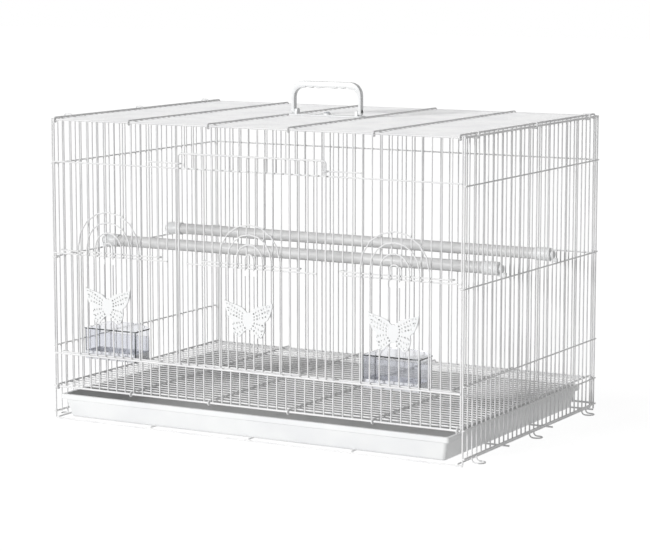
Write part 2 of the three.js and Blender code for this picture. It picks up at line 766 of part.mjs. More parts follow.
function feederCup({ postX, shift }) {
  const x0 = postX + shift;
  const x1 = x0 + feederWide;
  const body = block(x0, x1, feederFrontY, feederBackY, feederLowZ, feederFrontTopZ);
  const inside = block(
    x0 + feederWall, x1 - feederWall, feederFrontY + feederWall, feederBackY - feederWall,
    feederLowZ + feederWall, feederFrontTopZ + overrun,
  );
  const backCut = block(
    x0 + feederWall, x1 - feederWall, feederBackY - 2 * feederWall, feederBackY + overrun,
    feederBackTopZ, feederFrontTopZ + overrun,
  );
  // The lip lies over the lower rail and stays between the uprights beside the opening
  const lipX0 = Math.max(x0, postX + fineR + playGap);
  const lipZ = railZ + railR + playGap;
  const lip = block(lipX0, x1, -railLap, feederFrontY + feederWall, lipZ, lipZ + lipThick);
  return body.subtract(inside).subtract(backCut).add(lip);
}

// The hood's section across the cage: a low arch from the front rim, cut short at the back
function hoodSection(rise, inset, closed) {
  const steps = 8;
  const halfDeep = feederDeep / 2 - inset;
  const endTurn = closed ? 0 : Math.PI * hoodOpenShare;
  const middleY = feederFrontY + feederDeep / 2;
  const points = [];
  for (let i = 0; i <= steps; i += 1) {
    const turn = Math.PI + ((endTurn - Math.PI) * i) / steps;
    points.push(new THREE.Vector2(middleY + halfDeep * Math.cos(turn), rise * Math.sin(turn)));
  }
  return points;
}

// A section in Y and Z, made into a bar between two places in X
function barAlongX(points, x0, x1) {
  const geometry = new THREE.ExtrudeGeometry(new THREE.Shape(points), { depth: x1 - x0, bevelEnabled: false });
  const turn = new THREE.Matrix4().makeBasis(
    new THREE.Vector3(0, 1, 0), new THREE.Vector3(0, 0, 1), new THREE.Vector3(1, 0, 0),
  );
  geometry.applyMatrix4(turn);
  geometry.translate(x0, 0, 0);
  return toSolid(geometry);
}

function feederHood({ postX, shift }) {
  const x0 = postX + shift;
  const x1 = x0 + feederWide;
  const outer = hoodSection(hoodRise, 0, false);
  const inner = hoodSection(hoodRise - feederWall, feederWall, false).reverse();
  const cheek = hoodSection(hoodRise - feederWall / 2, 0, true);
  const shell = barAlongX([...outer, ...inner], x0, x1);
  const leftCheek = barAlongX(cheek, x0, x0 + feederWall);
  const rightCheek = barAlongX(cheek, x1 - feederWall, x1);
  return shell.add(leftCheek).add(rightCheek).translate([0, 0, feederFrontTopZ + hoodFootGap]);
}

for (const [place, stand] of Object.entries(feederPlaces)) {
  addPiece(front, `${place}_feeder_cup`, feederCup(stand), clearPlastic);
  addPiece(front, `${place}_feeder_hood`, feederHood(stand), clearPlastic);
}

// Carry handle: a moulded bow with finger waves. It folds down on two pins in the base, which is
// screwed to a plate under the roof wires.
const handleHalfWide = 53;
const handleHigh = 45.85; // from the underside of its base
const handleThick = 4.6;
const handleGripThick = 9;
const handleDeep = 8;
const handleCornerR = 17;
const waveDeep = 1.6;
const waves = 3;
const pivotPin = 3;
const pivotPinLong = 3.5;
const baseHalfLong = 56;
const baseHalfDeep = 8;
const baseThick = 2;
const lugThick = 4;
const bossR = 4.5;
const bossTall = 2;
const screwR = 1.9;
const screwHeadR = 4;
const screwHeadTall = 1.6;
const nutR = 4;
const nutTall = 3;
const plateThick = 2.5;
const plateHalfLong = 18;
const lugSideGap = 0.4;

const roofWireZ = cageHigh + hookR - fineLap;
const basePlateZ = roofWireZ + fineR + playGap;
const handleTopZ = basePlateZ + handleHigh;
const pivotZ = basePlateZ + baseThick + playGap + handleDeep / 2;
const bossTopZ = basePlateZ + baseThick + bossTall;
const legInnerX = handleHalfWide - handleThick;

function handleShape() {
  const shape = new THREE.Shape();
  const outerR = handleCornerR;
  const innerR = handleCornerR - handleThick;
  const innerTopZ = handleTopZ - handleGripThick;
  const half = Math.PI / 2;
  shape.moveTo(-handleHalfWide, pivotZ);
  shape.lineTo(-handleHalfWide, handleTopZ - outerR);
  shape.absarc(-handleHalfWide + outerR, handleTopZ - outerR, outerR, Math.PI, half, true);
  shape.absarc(handleHalfWide - outerR, handleTopZ - outerR, outerR, half, 0, true);
  shape.lineTo(handleHalfWide, pivotZ);
  shape.lineTo(legInnerX, pivotZ);
  shape.absarc(legInnerX - innerR, innerTopZ - innerR, innerR, 0, half, false);
  // Finger waves along the underside of the grip
  const run = legInnerX - innerR;
  const wavePoints = [];
  const steps = waves * 4;
  for (let i = 1; i < steps; i += 1) {
    const share = i / steps;
    const dip = (1 - Math.cos(2 * Math.PI * waves * share)) / 2;
    wavePoints.push(new THREE.Vector2(run * (1 - 2 * share), innerTopZ + waveDeep * dip));
  }
  for (const point of wavePoints) shape.lineTo(point.x, point.y);
  shape.absarc(-legInnerX + innerR, innerTopZ - innerR, innerR, half, Math.PI, false);
  shape.lineTo(-legInnerX, pivotZ);
  return shape;
}

function carryHandle() {
  const curveSegments = 4;
  const bow = plateXZ(handleShape(), -handleDeep / 2, handleDeep / 2, curveSegments);
  const solids = [bow];
  // Round feet about the pivot, each with a pin that points inwards
  for (const side of [-1, 1]) {
    const outer = side * handleHalfWide;
    solids.push(rod('x', outer, side * legInnerX, 0, pivotZ, handleDeep / 2, roundSides));
    const pinTip = side * (legInnerX - pivotPinLong);
    solids.push(rod('x', outer - side * overrun, pinTip, 0, pivotZ, pivotPin / 2, roundSides));
  }
  return fuse(solids);
}

function handleBase() {
  const low = basePlateZ;
  const top = low + baseThick;
  const solids = [block(-baseHalfLong, baseHalfLong, -baseHalfDeep, baseHalfDeep, low, top)];
  const lugOuterX = legInnerX - lugSideGap;
  for (const side of [-1, 1]) {
    const x0 = Math.min(side * lugOuterX, side * (lugOuterX - lugThick));
    const lug = block(
      x0, x0 + lugThick, -handleDeep / 2, handleDeep / 2, top - baseThick / 2, pivotZ + pivotPin,
    );
    const hole = rod(
      'x', x0 - overrun, x0 + lugThick + overrun, 0, pivotZ, pivotPin / 2 + playGap, roundSides,
    );
    solids.push(lug.subtract(hole));
  }
  solids.push(rod('z', low, bossTopZ, 0, 0, bossR, roundSides));
  const screwHole = rod('z', low - overrun, bossTopZ + overrun, 0, 0, screwR + playGap, roundSides);
  return fuse(solids).subtract(screwHole);
}

const plateTopZ = roofWireZ - fineR - playGap;
const plateLowZ = plateTopZ - plateThick;

function clampPlate() {
  const plate = block(-plateHalfLong, plateHalfLong, -baseHalfDeep, baseHalfDeep, plateLowZ, plateTopZ);
  const hole = rod('z', plateLowZ - overrun, plateTopZ + overrun, 0, 0, screwR + playGap, roundSides);
  return plate.subtract(hole);
}

function handleScrew() {
  const headZ = bossTopZ + playGap;
  const endZ = plateLowZ - playGap - nutTall - playGap;
  const shank = rod('z', endZ, headZ + screwHeadTall / 2, 0, 0, screwR, roundSides);
  const head = rod('z', headZ, headZ + screwHeadTall, 0, 0, screwHeadR, roundSides);
  return shank.add(head);
}

function handleNut() {
  const top = plateLowZ - playGap;
  const nut = rod('z', top - nutTall, top, 0, 0, nutR, 6);
  const hole = rod('z', top - nutTall - overrun, top + overrun, 0, 0, screwR + playGap, roundSides);
  return nut.subtract(hole);
}

addPiece(cage, 'carry_handle', carryHandle(), whitePlastic);
addPiece(cage, 'handle_base', handleBase(), whitePlastic);
addPiece(cage, 'handle_clamp_plate', clampPlate(), whitePlastic);
addPiece(cage, 'handle_screw', handleScrew(), platedSteel);
addPiece(cage, 'handle_nut', handleNut(), platedSteel);

// The origin lies under the middle of the whole cage, between its front and rear reach
const frontReach = cageDeep / 2 - centreWiresY + fineR + playGap + butterflyThick;
const backReach = grateBackWire.y + hookR + postR;
cage.position.y = (frontReach - backReach) / 2;

export default cage;
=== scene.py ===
from math import cos, pi, radians, sin

import bmesh
import bpy
from mathutils import Matrix, Vector


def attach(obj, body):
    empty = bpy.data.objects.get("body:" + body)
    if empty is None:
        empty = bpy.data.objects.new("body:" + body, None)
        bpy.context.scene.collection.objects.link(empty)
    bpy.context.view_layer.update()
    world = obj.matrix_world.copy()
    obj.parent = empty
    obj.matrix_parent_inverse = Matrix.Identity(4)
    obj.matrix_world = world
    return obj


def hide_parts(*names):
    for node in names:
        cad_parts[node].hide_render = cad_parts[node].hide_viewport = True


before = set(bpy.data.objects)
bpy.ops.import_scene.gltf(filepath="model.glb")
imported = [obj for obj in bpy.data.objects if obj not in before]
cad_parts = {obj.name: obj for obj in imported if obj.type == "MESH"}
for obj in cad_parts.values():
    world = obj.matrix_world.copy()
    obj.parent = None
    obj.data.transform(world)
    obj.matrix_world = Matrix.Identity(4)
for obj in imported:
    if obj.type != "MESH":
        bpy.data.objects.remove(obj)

scene = bpy.context.scene
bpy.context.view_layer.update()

# Camera. It stands to the right of the cage's front and a little above it, as for a catalogue
# picture taken with a long lens.
CAMERA_PLACE = (1.5216, -2.6977, 0.6291)
CAMERA_PITCH = 8.062
CAMERA_YAW = 29.447
CAMERA_LENS = 129.09
SENSOR_WIDE = 36

camera_data = bpy.data.cameras.new("cage_camera")
camera_data.lens = CAMERA_LENS
camera_data.sensor_width = SENSOR_WIDE
camera = bpy.data.objects.new("cage_camera", camera_data)
camera.location = CAMERA_PLACE
camera.rotation_euler = (radians(90 - CAMERA_PITCH), 0, radians(CAMERA_YAW))
scene.collection.objects.link(camera)
scene.camera = camera
scene.view_settings.view_transform = "Standard"

# Studio: a plain pale floor, an even surround and one broad soft lamp, low at the left of the
# front. Floor and surround look white to the camera, in gloss and through clear plastic.
FLOOR_HALF = 12
FLOOR_COLOUR = "#a0a0a0"
FLOOR_GLOW = 0.87       # what the floor adds where it is seen directly, so that it looks white
FLOOR_BOUNCE = 0.3      # what it adds for plain light, as a paler floor would
SURROUND_LEVEL = 0.3
LAMP_STRENGTH = 2.3
LAMP_SPREAD = 15
LAMP_FROM = Vector((-0.4, -0.85, 0.24))


def linear(hex_colour):
    """An sRGB value such as "#f0f1f2" as the linear colour that a shader's socket takes."""
    parts = [int(hex_colour[i:i + 2], 16) / 255 for i in (1, 3, 5)]
    return tuple(p / 12.92 if p <= 0.04045 else ((p + 0.055) / 1.055) ** 2.4 for p in parts) + (1,)


def add_node(tree, kind, settings, links):
    """Adds a shader node. Settings name its sockets or properties, links what feeds a socket."""
    node = tree.nodes.new(kind)
    for name, value in settings.items():
        if isinstance(name, int) or name in node.inputs:
            node.inputs[name].default_value = value
        else:
            setattr(node, name, value)
    for name, source in links.items():
        tree.links.new(source, node.inputs[name])
    return node


def seen_directly(tree):
    """1 for rays from the camera, from gloss and through clear plastic, and 0 for plain light."""
    rays = add_node(tree, "ShaderNodeLightPath", {}, {}).outputs
    first = add_node(tree, "ShaderNodeMath", {"operation": "MAXIMUM"},
                     {0: rays["Is Camera Ray"], 1: rays["Is Glossy Ray"]})
    both = add_node(tree, "ShaderNodeMath", {"operation": "MAXIMUM"},
                    {0: first.outputs[0], 1: rays["Is Transmission Ray"]})
    return both.outputs[0]


world = bpy.data.worlds.new("white_surround")
world.use_nodes = True
world.node_tree.nodes.clear()
level = add_node(world.node_tree, "ShaderNodeMapRange", {"To Min": SURROUND_LEVEL, "To Max": 1},
                 {"Value": seen_directly(world.node_tree)})
surround = add_node(world.node_tree, "ShaderNodeBackground", {"Color": linear("#ffffff")},
                    {"Strength": level.outputs[0]})
add_node(world.node_tree, "ShaderNodeOutputWorld", {}, {"Surface": surround.outputs[0]})
scene.world = world

floor_paint = bpy.data.materials.new("matt_studio_floor")
floor_paint.use_nodes = True
tree = floor_paint.node_tree
tree.nodes.clear()
matt = add_node(tree, "ShaderNodeBsdfDiffuse", {"Color": linear(FLOOR_COLOUR)}, {})
glow_level = add_node(tree, "ShaderNodeMapRange", {"To Min": FLOOR_BOUNCE, "To Max": FLOOR_GLOW},
                      {"Value": seen_directly(tree)})
glow = add_node(tree, "ShaderNodeEmission", {"Color": linear("#ffffff")},
                {"Strength": glow_level.outputs["Result"]})
floor_mix = add_node(tree, "ShaderNodeAddShader", {}, {0: matt.outputs[0], 1: glow.outputs[0]})
add_node(tree, "ShaderNodeOutputMaterial", {}, {"Surface": floor_mix.outputs[0]})

bm = bmesh.new()
bmesh.ops.create_grid(bm, x_segments=1, y_segments=1, size=FLOOR_HALF)
floor_mesh = bpy.data.meshes.new("studio_floor")
bm.to_mesh(floor_mesh)
bm.free()
floor_mesh.materials.append(floor_paint)
floor = bpy.data.objects.new("studio_floor", floor_mesh)
scene.collection.objects.link(floor)

lamp_data = bpy.data.lights.new("soft_key", "SUN")
lamp_data.energy = LAMP_STRENGTH
lamp_data.angle = radians(LAMP_SPREAD)
lamp = bpy.data.objects.new("soft_key", lamp_data)
lamp.rotation_euler = LAMP_FROM.to_track_quat("Z", "Y").to_euler()
scene.collection.objects.link(lamp)

# Front panel: drawn steel wires, spot-welded where they cross and then powder-coated white. Two
# low openings and a wide one in the middle are cut away behind the doors. All lengths from here
# on are in millimetres, and hand_over turns them to metres.
MM = 0.001
FINE = 2.0              # filling wires
POST = 2.4              # end wires and the large door's frame
RAIL = 2.8              # top, bottom, grate and door rails
SINK = 0.15             # how far a weld lets two fine wires into each other
FINE_LAP = FINE - SINK
RAIL_LAP = 2.05
BEAD_WIDE = 2.5
CUT_CHAMFER = 0.14      # of the wire's diameter, at each cut end
BEND_STEP = 22.5
CAGE_HALF_WIDE = 300
FRONT_GAPS = 44
FRONT_PITCH = 2 * CAGE_HALF_WIDE / FRONT_GAPS
FRONT_Y = -199.145
BACK_Y = 205.855
TOP_Z = 402
GRATE_Z = 45.3
RAIL_Z = 90.3
HEADER_Z = 225
UPPER_FRONT_Z = 346.6
GUIDE_Z = 353
GUIDE_REACH = 48
GUIDE_SWEEP = 250
EYE_R = 3.55
SIDE_OPENING = range(4, 10)         # wires cut away behind a side door, counted from its own end
LARGE_OPENING = range(15, 31)       # wires cut away behind the large door
HEADER_ENDS = (13, 32)
COAT_LIGHT = "#f4f4f4"
COAT_THIN = "#ececed"
DRIFT_LOW = 0.4         # the noise at which one tone of a material starts to drift to the other
DRIFT_HIGH = 0.65


def two_tone(name, tones, drift_mm, dimple_mm, dimple_deep, gloss, extra):
    """A material of two near tones that drift into each other, with fine dimples. Both sizes are
    the width of one blob. gloss is the roughness in each tone, extra the shader's own settings."""
    material = bpy.data.materials.new(name)
    material.use_nodes = True
    tree = material.node_tree
    tree.nodes.clear()
    place = add_node(tree, "ShaderNodeTexCoord", {}, {}).outputs["Object"]
    drift = add_node(tree, "ShaderNodeTexNoise", {"Scale": 1 / (drift_mm * MM), "Detail": 2},
                     {"Vector": place})
    tone = add_node(tree, "ShaderNodeValToRGB", {}, {"Fac": drift.outputs["Fac"]})
    for stop, colour, level in zip(tone.color_ramp.elements, tones, (DRIFT_LOW, DRIFT_HIGH)):
        stop.position = level
        stop.color = linear(colour)
    rough = add_node(tree, "ShaderNodeMapRange", {
        "From Min": DRIFT_LOW, "From Max": DRIFT_HIGH, "To Min": gloss[0], "To Max": gloss[1],
    }, {"Value": drift.outputs["Fac"]})
    dimples = add_node(tree, "ShaderNodeTexNoise", {"Scale": 1 / (dimple_mm * MM), "Detail": 1},
                       {"Vector": place})
    bump = add_node(tree, "ShaderNodeBump", {"Strength": 0.5, "Distance": dimple_deep * MM},
                    {"Height": dimples.outputs["Fac"]})
    shader = add_node(tree, "ShaderNodeBsdfPrincipled", extra, {
        "Base Color": tone.outputs["Color"], "Roughness": rough.outputs["Result"],
        "Normal": bump.outputs["Normal"],
    })
    add_node(tree, "ShaderNodeOutputMaterial", {}, {"Surface": shader.outputs[0]})
    return material


# Powder-coated steel wire: satin white, a touch greyer where the coat is thin, with the faint
# orange peel that shows as a broken highlight along each wire
coated_wire = two_tone("powder_coated_steel_wire", (COAT_LIGHT, COAT_THIN), drift_mm=45,
                       dimple_mm=0.9, dimple_deep=0.05, gloss=(0.36, 0.46), extra={"IOR": 1.5})


def draw_wire(bm, start, heading, course, diameter, sides=8):
    """Draws a round wire from start. In course a number is a straight run, and (axis, radius,
    degrees) is a bend about that axis. Both ends are chamfered, as coated cut ends look."""
    at, ahead = Vector(start), Vector(heading).normalized()
    bite = diameter * CUT_CHAMFER
    turn = ahead.to_track_quat("Z", "Y").to_matrix().to_4x4()
    ring = bmesh.ops.create_circle(bm, cap_ends=True, segments=sides, radius=diameter / 2 - bite,
                                   matrix=Matrix.Translation(at) @ turn)["verts"]
    edges = list({edge for vert in ring for edge in vert.link_edges})
    growth = diameter / 2 / (diameter / 2 - bite)

    def onward(edges, length, growth):
        made = bmesh.ops.extrude_edge_only(bm, edges=edges)["geom"]
        verts = [g for g in made if isinstance(g, bmesh.types.BMVert)]
        if growth != 1:
            bmesh.ops.scale(bm, vec=(growth,) * 3, space=Matrix.Translation(-at), verts=verts)
        bmesh.ops.translate(bm, vec=ahead * length, verts=verts)
        kept = set(verts)
        return [g for g in made if isinstance(g, bmesh.types.BMEdge) and kept.issuperset(g.verts)]

    edges = onward(edges, bite, growth)
    at += ahead * bite
    last = len(course) - 1
    for i, step in enumerate(course):
        if isinstance(step, tuple):
            axis, radius, degrees = Vector(step[0]), step[1], step[2]
            centre = at + axis.cross(ahead) * radius
            made = bmesh.ops.spin(bm, geom=edges, cent=centre, axis=axis, angle=radians(degrees),
                                  steps=max(2, round(degrees / BEND_STEP)),
                                  use_duplicate=False)
            edges = [g for g in made["geom_last"] if isinstance(g, bmesh.types.BMEdge)]
            swing = Matrix.Rotation(radians(degrees), 3, axis)
            at = centre + swing @ (at - centre)
            ahead = swing @ ahead
        else:
            length = step - bite * ((i == 0) + (i == last))
            edges = onward(edges, length, 1)
            at += ahead * length
    edges = onward(edges, bite, 1 / growth)
    bmesh.ops.contextual_create(bm, geom=edges)


def upright(bm, x, y, low, high, diameter):
    draw_wire(bm, (x, y, low), (0, 0, 1), [high - low], diameter)


def crosswire(bm, x0, x1, y, z, diameter):
    draw_wire(bm, (x0, y, z), (1, 0, 0), [x1 - x0], diameter)


def weld_bead(bm, place):
    """The small swelling where two coated wires are spot-welded."""
    bmesh.ops.create_icosphere(bm, subdivisions=1, radius=BEAD_WIDE / 2,
                               matrix=Matrix.Translation(place))


def weave(bm, uprights, crosswires):
    """Draws (x, y, low, high, diameter) uprights and (x0, x1, y, z, diameter) crosswires, with a
    bead where an upright and a crosswire meet side by side."""
    for x, y, low, high, thick in uprights:
        upright(bm, x, y, low, high, thick)
    for x0, x1, cross_y, z, cross_thick in crosswires:
        crosswire(bm, x0, x1, cross_y, z, cross_thick)
        for x, y, low, high, thick in uprights:
            if x0 <= x <= x1 and low <= z <= high:
                weld_bead(bm, (x, (y + cross_y) / 2, z))


def hand_over(bm, name, body, nodes, material, sharp_from=40):
    """Makes the finished piece in metres and lets it ride on its body in place of its CAD nodes."""
    bmesh.ops.recalc_face_normals(bm, faces=bm.faces)
    bmesh.ops.scale(bm, vec=(MM, MM, MM), verts=bm.verts)
    mesh = bpy.data.meshes.new(name)
    bm.to_mesh(mesh)
    bm.free()
    mesh.shade_smooth()
    mesh.set_sharp_from_angle(angle=radians(sharp_from))
    mesh.materials.append(material)
    piece = bpy.data.objects.new(name, mesh)
    scene.collection.objects.link(piece)
    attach(piece, body)
    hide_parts(*nodes)
    return piece


def put(bm, turn_degrees, x, y):
    """Moves a panel that was drawn facing the front to its own side of the cage."""
    place = Matrix.Translation((x, y, 0)) @ Matrix.Rotation(radians(turn_degrees), 4, "Z")
    bmesh.ops.transform(bm, matrix=place, verts=bm.verts)


def front_x(k):
    return -CAGE_HALF_WIDE + k * FRONT_PITCH


DOOR_Y = -5.4
DOOR_PITCH = 12.72
DOOR_WIRES = 18
DOOR_CENTRE_X = FRONT_PITCH / 2


def door_x(i):
    return DOOR_CENTRE_X + (i - (DOOR_WIRES - 1) / 2) * DOOR_PITCH


PANEL_END = CAGE_HALF_WIDE + POST / 2
uprights = []
for k in range(FRONT_GAPS + 1):
    from_end = min(k, FRONT_GAPS - k)
    low, thick = GRATE_Z - RAIL / 2, POST if from_end == 0 else FINE
    if from_end in SIDE_OPENING or k in LARGE_OPENING:
        over = HEADER_Z if from_end in SIDE_OPENING else UPPER_FRONT_Z
        uprights.append((front_x(k), 0, low, RAIL_Z + RAIL / 2, thick))
        uprights.append((front_x(k), 0, over - FINE / 2, TOP_Z, thick))
    else:
        uprights.append((front_x(k), 0, low, TOP_Z, thick))
crosswires = [
    (-PANEL_END, PANEL_END, 0, TOP_Z, RAIL),
    (-PANEL_END, PANEL_END, -FINE_LAP, UPPER_FRONT_Z, FINE),
    (-PANEL_END, PANEL_END, -RAIL_LAP, RAIL_Z, RAIL),
    (-PANEL_END, PANEL_END, -RAIL_LAP, GRATE_Z, RAIL),
    (-PANEL_END, front_x(HEADER_ENDS[0]) + FINE / 2, -FINE_LAP, HEADER_Z, FINE),
    (front_x(HEADER_ENDS[1]) - FINE / 2, PANEL_END, -FINE_LAP, HEADER_Z, FINE),
]
bm = bmesh.new()
weave(bm, uprights, crosswires)
# Two guides, each ending in an eye round a leg of the large door
for side, leg in ((-1, door_x(0)), (1, door_x(DOOR_WIRES - 1))):
    draw_wire(bm, (leg + side * GUIDE_REACH, DOOR_Y + EYE_R, GUIDE_Z), (-side, 0, 0),
              [GUIDE_REACH, ((0, 0, side), EYE_R, GUIDE_SWEEP)], FINE)
put(bm, 0, 0, FRONT_Y)
hand_over(bm, "front_panel_wires", "cage", ["front_panel"], coated_wire)

# Back panel: the same welded and coated wires as the front, with nothing cut away
UPPER_Z = 343.4
BACK_MIDDLE_Z = 216.7
BOTTOM_Z = 10

bm = bmesh.new()
weave(bm, [
    (front_x(k), 0, BOTTOM_Z - RAIL / 2, TOP_Z, POST if k in (0, FRONT_GAPS) else FINE)
    for k in range(FRONT_GAPS + 1)
], [
    (-PANEL_END, PANEL_END, 0, TOP_Z, RAIL),
    (-PANEL_END, PANEL_END, -FINE_LAP, UPPER_Z, FINE),
    (-PANEL_END, PANEL_END, -FINE_LAP, BACK_MIDDLE_Z, FINE),
    (-PANEL_END, PANEL_END, -FINE_LAP, GRATE_Z, FINE),
    (-PANEL_END, PANEL_END, -RAIL_LAP, BOTTOM_Z, RAIL),
])
put(bm, 180, 0, BACK_Y)
hand_over(bm, "back_panel_wires", "cage", ["back_panel"], coated_wire)

# Side panels: welded and coated as the front. Three pairs of uprights run on below the bottom wire
# and turn out as looped feet, and the middle wire's ends hook round the posts of front and back.
SIDE_X = 303
SIDE_HALF = 202.5
SIDE_GAPS = 31
SIDE_PITCH = 2 * SIDE_HALF / SIDE_GAPS
CENTRE_Y = (FRONT_Y + BACK_Y) / 2
LOWER_Z = 99.6
MIDDLE_Z = 219
POST_LOW_Z = 2.7
FOOT_STARTS = (2, 15, 28)
FOOT_BEND = 5
FOOT_REACH = 8
HOOK_BEND = 2.2
HOOK_DEEP = 7.35
HOOK_TIP = 2

for name, side in (("left", -1), ("right", 1)):
    bm = bmesh.new()
    uprights = []
    for j in range(SIDE_GAPS + 1):
        x = -SIDE_HALF + j * SIDE_PITCH
        if j in FOOT_STARTS:
            drop = TOP_Z - FINE / 2 - FOOT_BEND
            run = FOOT_REACH - FOOT_BEND
            draw_wire(bm, (x, 0, TOP_Z), (0, 0, -1), [
                drop, ((-1, 0, 0), FOOT_BEND, 90), run, ((0, 0, 1), SIDE_PITCH / 2, 180), run,
                ((1, 0, 0), FOOT_BEND, 90), drop,
            ], FINE)
        elif j in (0, SIDE_GAPS):
            uprights.append((x, 0, POST_LOW_Z, TOP_Z, POST))
        elif j - 1 not in FOOT_STARTS:
            uprights.append((x, 0, BOTTOM_Z - RAIL / 2, TOP_Z, FINE))
    end = SIDE_HALF + POST / 2
    weave(bm, uprights, [
        (-end, end, 0, TOP_Z, RAIL),
        (-end, end, -FINE_LAP, UPPER_Z, FINE),
        (-end, end, -FINE_LAP, LOWER_Z, FINE),
        (-end, end, -FINE_LAP, GRATE_Z, FINE),
        (-end, end, -RAIL_LAP, BOTTOM_Z, RAIL),
    ])
    quarter = ((0, 0, 1), HOOK_BEND, 90)
    inward = HOOK_DEEP - 2 * HOOK_BEND
    draw_wire(bm, (-SIDE_HALF + HOOK_TIP, HOOK_DEEP - FINE_LAP, MIDDLE_Z), (-1, 0, 0), [
        HOOK_TIP, quarter, inward, quarter, 2 * SIDE_HALF, quarter, inward, quarter, HOOK_TIP,
    ], FINE)
    put(bm, side * 90, side * SIDE_X, CENTRE_Y)
    hand_over(bm, name + "_side_wires", "cage", [name + "_side_panel"], coated_wire)

# Roof and floor grate: long fine wires welded under six cross wires, whose ends are hooked over
# the top wires or the grate wires of front and back. Coated as the panels are.
CROSS_XS = (-297, -180, -58.98, 58.98, 180, 297)
HOOK_R = 2.9
HOOK_SWEEP = 216
LONG_WIRE = 1.7
LONG_LAP = (FINE + LONG_WIRE) / 2 - SINK

for name, node, front_y, back_y, z in (
    ("roof_wires", "roof_panel", FRONT_Y, BACK_Y, TOP_Z),
    ("grate_wires", "floor_grate", FRONT_Y - RAIL_LAP, BACK_Y + RAIL_LAP, GRATE_Z),
):
    bm = bmesh.new()
    cross_z = z + HOOK_R
    first = radians(HOOK_SWEEP - 90)
    hook = ((-1, 0, 0), HOOK_R, HOOK_SWEEP)
    for x in CROSS_XS:
        start = (x, front_y - HOOK_R * cos(first), z - HOOK_R * sin(first))
        draw_wire(bm, start, (0, -sin(first), cos(first)), [hook, back_y - front_y, hook],
                  POST if abs(x) == max(CROSS_XS) else FINE)
    end = max(CROSS_XS) + POST / 2
    for j in range(1, SIDE_GAPS):
        stout = j in (1, SIDE_GAPS - 1)
        y = FRONT_Y + j * SIDE_PITCH
        wire_z = cross_z - (RAIL_LAP if stout else LONG_LAP)
        crosswire(bm, -end, end, y, wire_z, POST if stout else LONG_WIRE)
        for x in CROSS_XS:
            weld_bead(bm, (x, y, (cross_z + wire_z) / 2))
    hand_over(bm, name, "cage", [node], coated_wire)

# Roof clips: six C rings of thinner coated wire, squeezed round the roof's edge wire and the side
# panel's top wire with pliers
CLIP_WIRE = 1.6
CLIP_BEND = 1.6
CLIP_MIDDLE_X = 300.1
CLIP_HALF_WIDE = 5.4
CLIP_LOW_Z = 399.5
CLIP_TALL = 7.7
CLIP_LIP = 1.1
CLIP_YS = {"front": -166.48, "middle": CENTRE_Y, "rear": 173.19}

for side_name, side in (("left", -1), ("right", 1)):
    for place, y in CLIP_YS.items():
        bm = bmesh.new()
        half = CLIP_HALF_WIDE - CLIP_BEND
        quarter = ((0, 1, 0), CLIP_BEND, 90)
        rise = CLIP_TALL - 2 * CLIP_BEND
        start = (side * CLIP_MIDDLE_X - CLIP_LIP, y, CLIP_LOW_Z)
        draw_wire(bm, start, (-1, 0, 0), [
            half - CLIP_LIP, quarter, rise, quarter, 2 * half, quarter, rise, quarter,
            half - CLIP_LIP,
        ], CLIP_WIRE)
        name = side_name + "_" + place
        hand_over(bm, name + "_clip_ring", "cage", [name + "_roof_clip"], coated_wire)

# Large door: an upside-down U of frame wire filled with fine wires, coated as the panels. Its
# legs run in the guides' eyes, and the eyes of its foot bar run on two wires of the front panel.
DOOR_TOP_Z = 366
DOOR_CORNER = 4
DOOR_LOW_Z = 92
DOOR_GAP_WIRES = range(6, 12)       # wires cut short above the small arched door's opening
EYE_SWEEP = 270


def bar_with_eyes(bm, x0, x1, bar_y, z, wire_y):
    """A bar whose ends curl into eyes round two upright wires, on which it slides."""
    radius = wire_y - bar_y
    eye = ((0, 0, 1), radius, EYE_SWEEP)
    draw_wire(bm, (x0 + radius, wire_y, z), (0, 1, 0), [eye, x1 - x0, eye], FINE)


bm = bmesh.new()
corner = ((0, 1, 0), DOOR_CORNER, 90)
leg = DOOR_TOP_Z - DOOR_CORNER - DOOR_LOW_Z
draw_wire(bm, (door_x(0), DOOR_Y, DOOR_LOW_Z), (0, 0, 1), [
    leg, corner, door_x(DOOR_WIRES - 1) - door_x(0) - 2 * DOOR_CORNER, corner, leg,
], POST)
weave(bm, [
    (door_x(i), DOOR_Y, HEADER_Z - FINE / 2 if i in DOOR_GAP_WIRES else DOOR_LOW_Z, DOOR_TOP_Z,
     FINE)
    for i in range(1, DOOR_WIRES - 1)
], [
    (door_x(1) - FINE / 2, door_x(DOOR_WIRES - 2) + FINE / 2, DOOR_Y - FINE_LAP, HEADER_Z, FINE),
])
bar_with_eyes(bm, front_x(14), front_x(31), DOOR_Y + FINE_LAP, DOOR_LOW_Z + FINE / 2, 0)
for i in range(DOOR_WIRES):
    if i not in DOOR_GAP_WIRES:
        weld_bead(bm, (door_x(i), DOOR_Y + FINE_LAP / 2, DOOR_LOW_Z + FINE / 2))
put(bm, 0, 0, FRONT_Y)
hand_over(bm, "large_door_wires", "large_door", ["large_door"], coated_wire)

# Arched doors: four nested arches of coated wire welded to two bars, whose eyes slide on the wires
# beside the opening. The innermost arch is cut short above a gap in its two legs.
ARCH_Z = 236.5
ARCH_BAR_Z = 229.5
CATCH_GAP = 7
CENTRE_ARCH_Y = -9.55
CENTRE_ARCH_LOW_Z = 94.3
SIDE_DOOR_X = 15.5 * FRONT_PITCH


